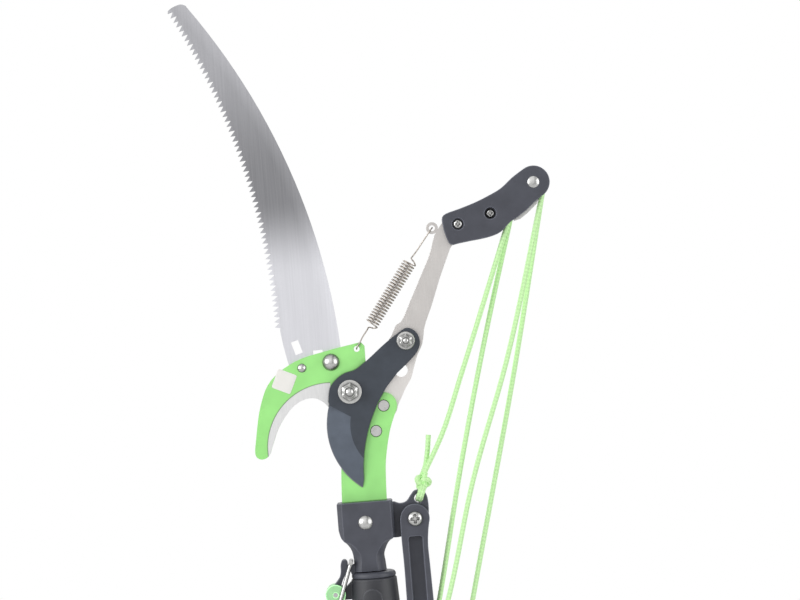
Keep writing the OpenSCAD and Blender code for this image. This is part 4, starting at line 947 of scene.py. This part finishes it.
class PRUNER_OT_label(bpy.types.Operator):
    """Blank label stuck to the hook plate's front"""

    bl_idname = "pruner.label"
    bl_label = "Blank label"

    def execute(self, context):
        """A thin pad on a rounded square: its edge is half the side over (cos^n + sin^n)^(1/n), n large."""
        half = context.scene.pruner.label_size / MM / 2
        angle = np.linspace(0, 2 * math.pi, LABEL_POINTS, endpoint=False)
        power = np.abs(np.cos(angle)) ** LABEL_SQUARE + np.abs(np.sin(angle)) ** LABEL_SQUARE
        edge = half / power ** (1 / LABEL_SQUARE)
        tilt = angle + LABEL_TURN
        points = np.stack([LABEL_PLACE[0] + np.outer(LABEL_SHARE, edge * np.cos(tilt)),
                           np.repeat(LABEL_Y[:, None], LABEL_POINTS, 1),
                           LABEL_PLACE[1] + np.outer(LABEL_SHARE, edge * np.sin(tilt))], -1)
        faces = grid_faces(len(LABEL_SHARE), LABEL_POINTS)
        vinyl = label_vinyl("blank label vinyl")
        add_piece("blank_label", row(points.reshape(-1, 3)), faces, vinyl, "upper", "plate_green")
        return {"FINISHED"}


class PRUNER_OT_finishes(bpy.types.Operator):
    """Finish of every solid that shows"""

    bl_idname = "pruner.finishes"
    bl_label = "Finishes"

    def execute(self, context):
        settings = context.scene.pruner
        by_slot = {
            "plate_green": powder_coated_steel("green powder-coated steel", settings.green),
            "green_plastic": moulded_plastic("green ABS", settings.hub_green, 0.6, 0.32),
            # the last number is the painted reflection at the lever's foot
            "blade_steel": brushed_metal("brushed lever steel", settings.steel, 2, 0.36, 0.24),
            "coated_steel": coated_blade_steel("dark coated blade steel", settings.coating),
            # the last number keeps this share of brightness on steep flanks: painted shade
            "zinc_steel": zinc_plate("zinc-plated steel", settings.zinc, 0.26, 0.42),
            "spring_steel": zinc_plate("spring steel", settings.zinc, 0.26),
            "black_plastic": moulded_plastic("black glass-filled nylon", settings.nylon, 0.5, 0.46),
            "grip_rubber": moulded_plastic("black grip rubber", linear("#26272b"), 0.9, 0.72),
            "black_tube": brushed_metal("black anodised aluminium", linear("#34353a"), 1, 0.45),
            "bare_tube": brushed_metal("bare aluminium tube", linear("#c9cbcd"), 1, 0.34),
            "sheave_alloy": brushed_metal("turned aluminium", linear("#bfc1c3"), 1, 0.34),
            "rope_fibre": bpy.data.materials["braided polyester"],
        }
        by_node = {
            "saw_blade": ground_saw_steel("ground saw steel", settings.saw_steel),
            # the collar gets the darker copy of the nylon: painted shade
            "tube_collar": moulded_plastic("darker glass-filled nylon", settings.shaded_nylon, 0.5, 0.46),
        }
        for part in frame["record"]["subparts"]:
            solid = frame["nodes"][part["node"]]
            for slot in solid.material_slots:
                slot.material = by_node.get(part["node"], by_slot[part["material_slot"]])
        return {"FINISHED"}


class PRUNER_PT_panel(bpy.types.Panel):
    """Sizes, colours and the steps that dress the pruner"""

    bl_idname = "PRUNER_PT_panel"
    bl_label = "Pruner"
    bl_space_type = "VIEW_3D"
    bl_region_type = "UI"
    bl_category = "Pruner"

    def draw(self, context):
        for name in PrunerSettings.__annotations__:
            self.layout.prop(context.scene.pruner, name)
        for step in STEPS:
            self.layout.operator(step.bl_idname)


STEPS = (
    PRUNER_OT_stage,
    PRUNER_OT_rope,
    PRUNER_OT_spring,
    PRUNER_OT_fasteners,
    PRUNER_OT_label,
    PRUNER_OT_finishes,
)
CLASSES = (PrunerSettings, *STEPS, PRUNER_PT_panel)


def register():
    for item in CLASSES:
        bpy.utils.register_class(item)
    bpy.types.Scene.pruner = bpy.props.PointerProperty(type=PrunerSettings)


def unregister():
    del bpy.types.Scene.pruner
    for item in reversed(CLASSES):
        bpy.utils.unregister_class(item)


def main():
    """Dress the frame step by step."""
    register()
    bpy.ops.pruner.stage()
    bpy.ops.pruner.rope()
    bpy.ops.pruner.spring()
    bpy.ops.pruner.fasteners()
    bpy.ops.pruner.label()
    bpy.ops.pruner.finishes()


if __name__ == "__main__":
    main()
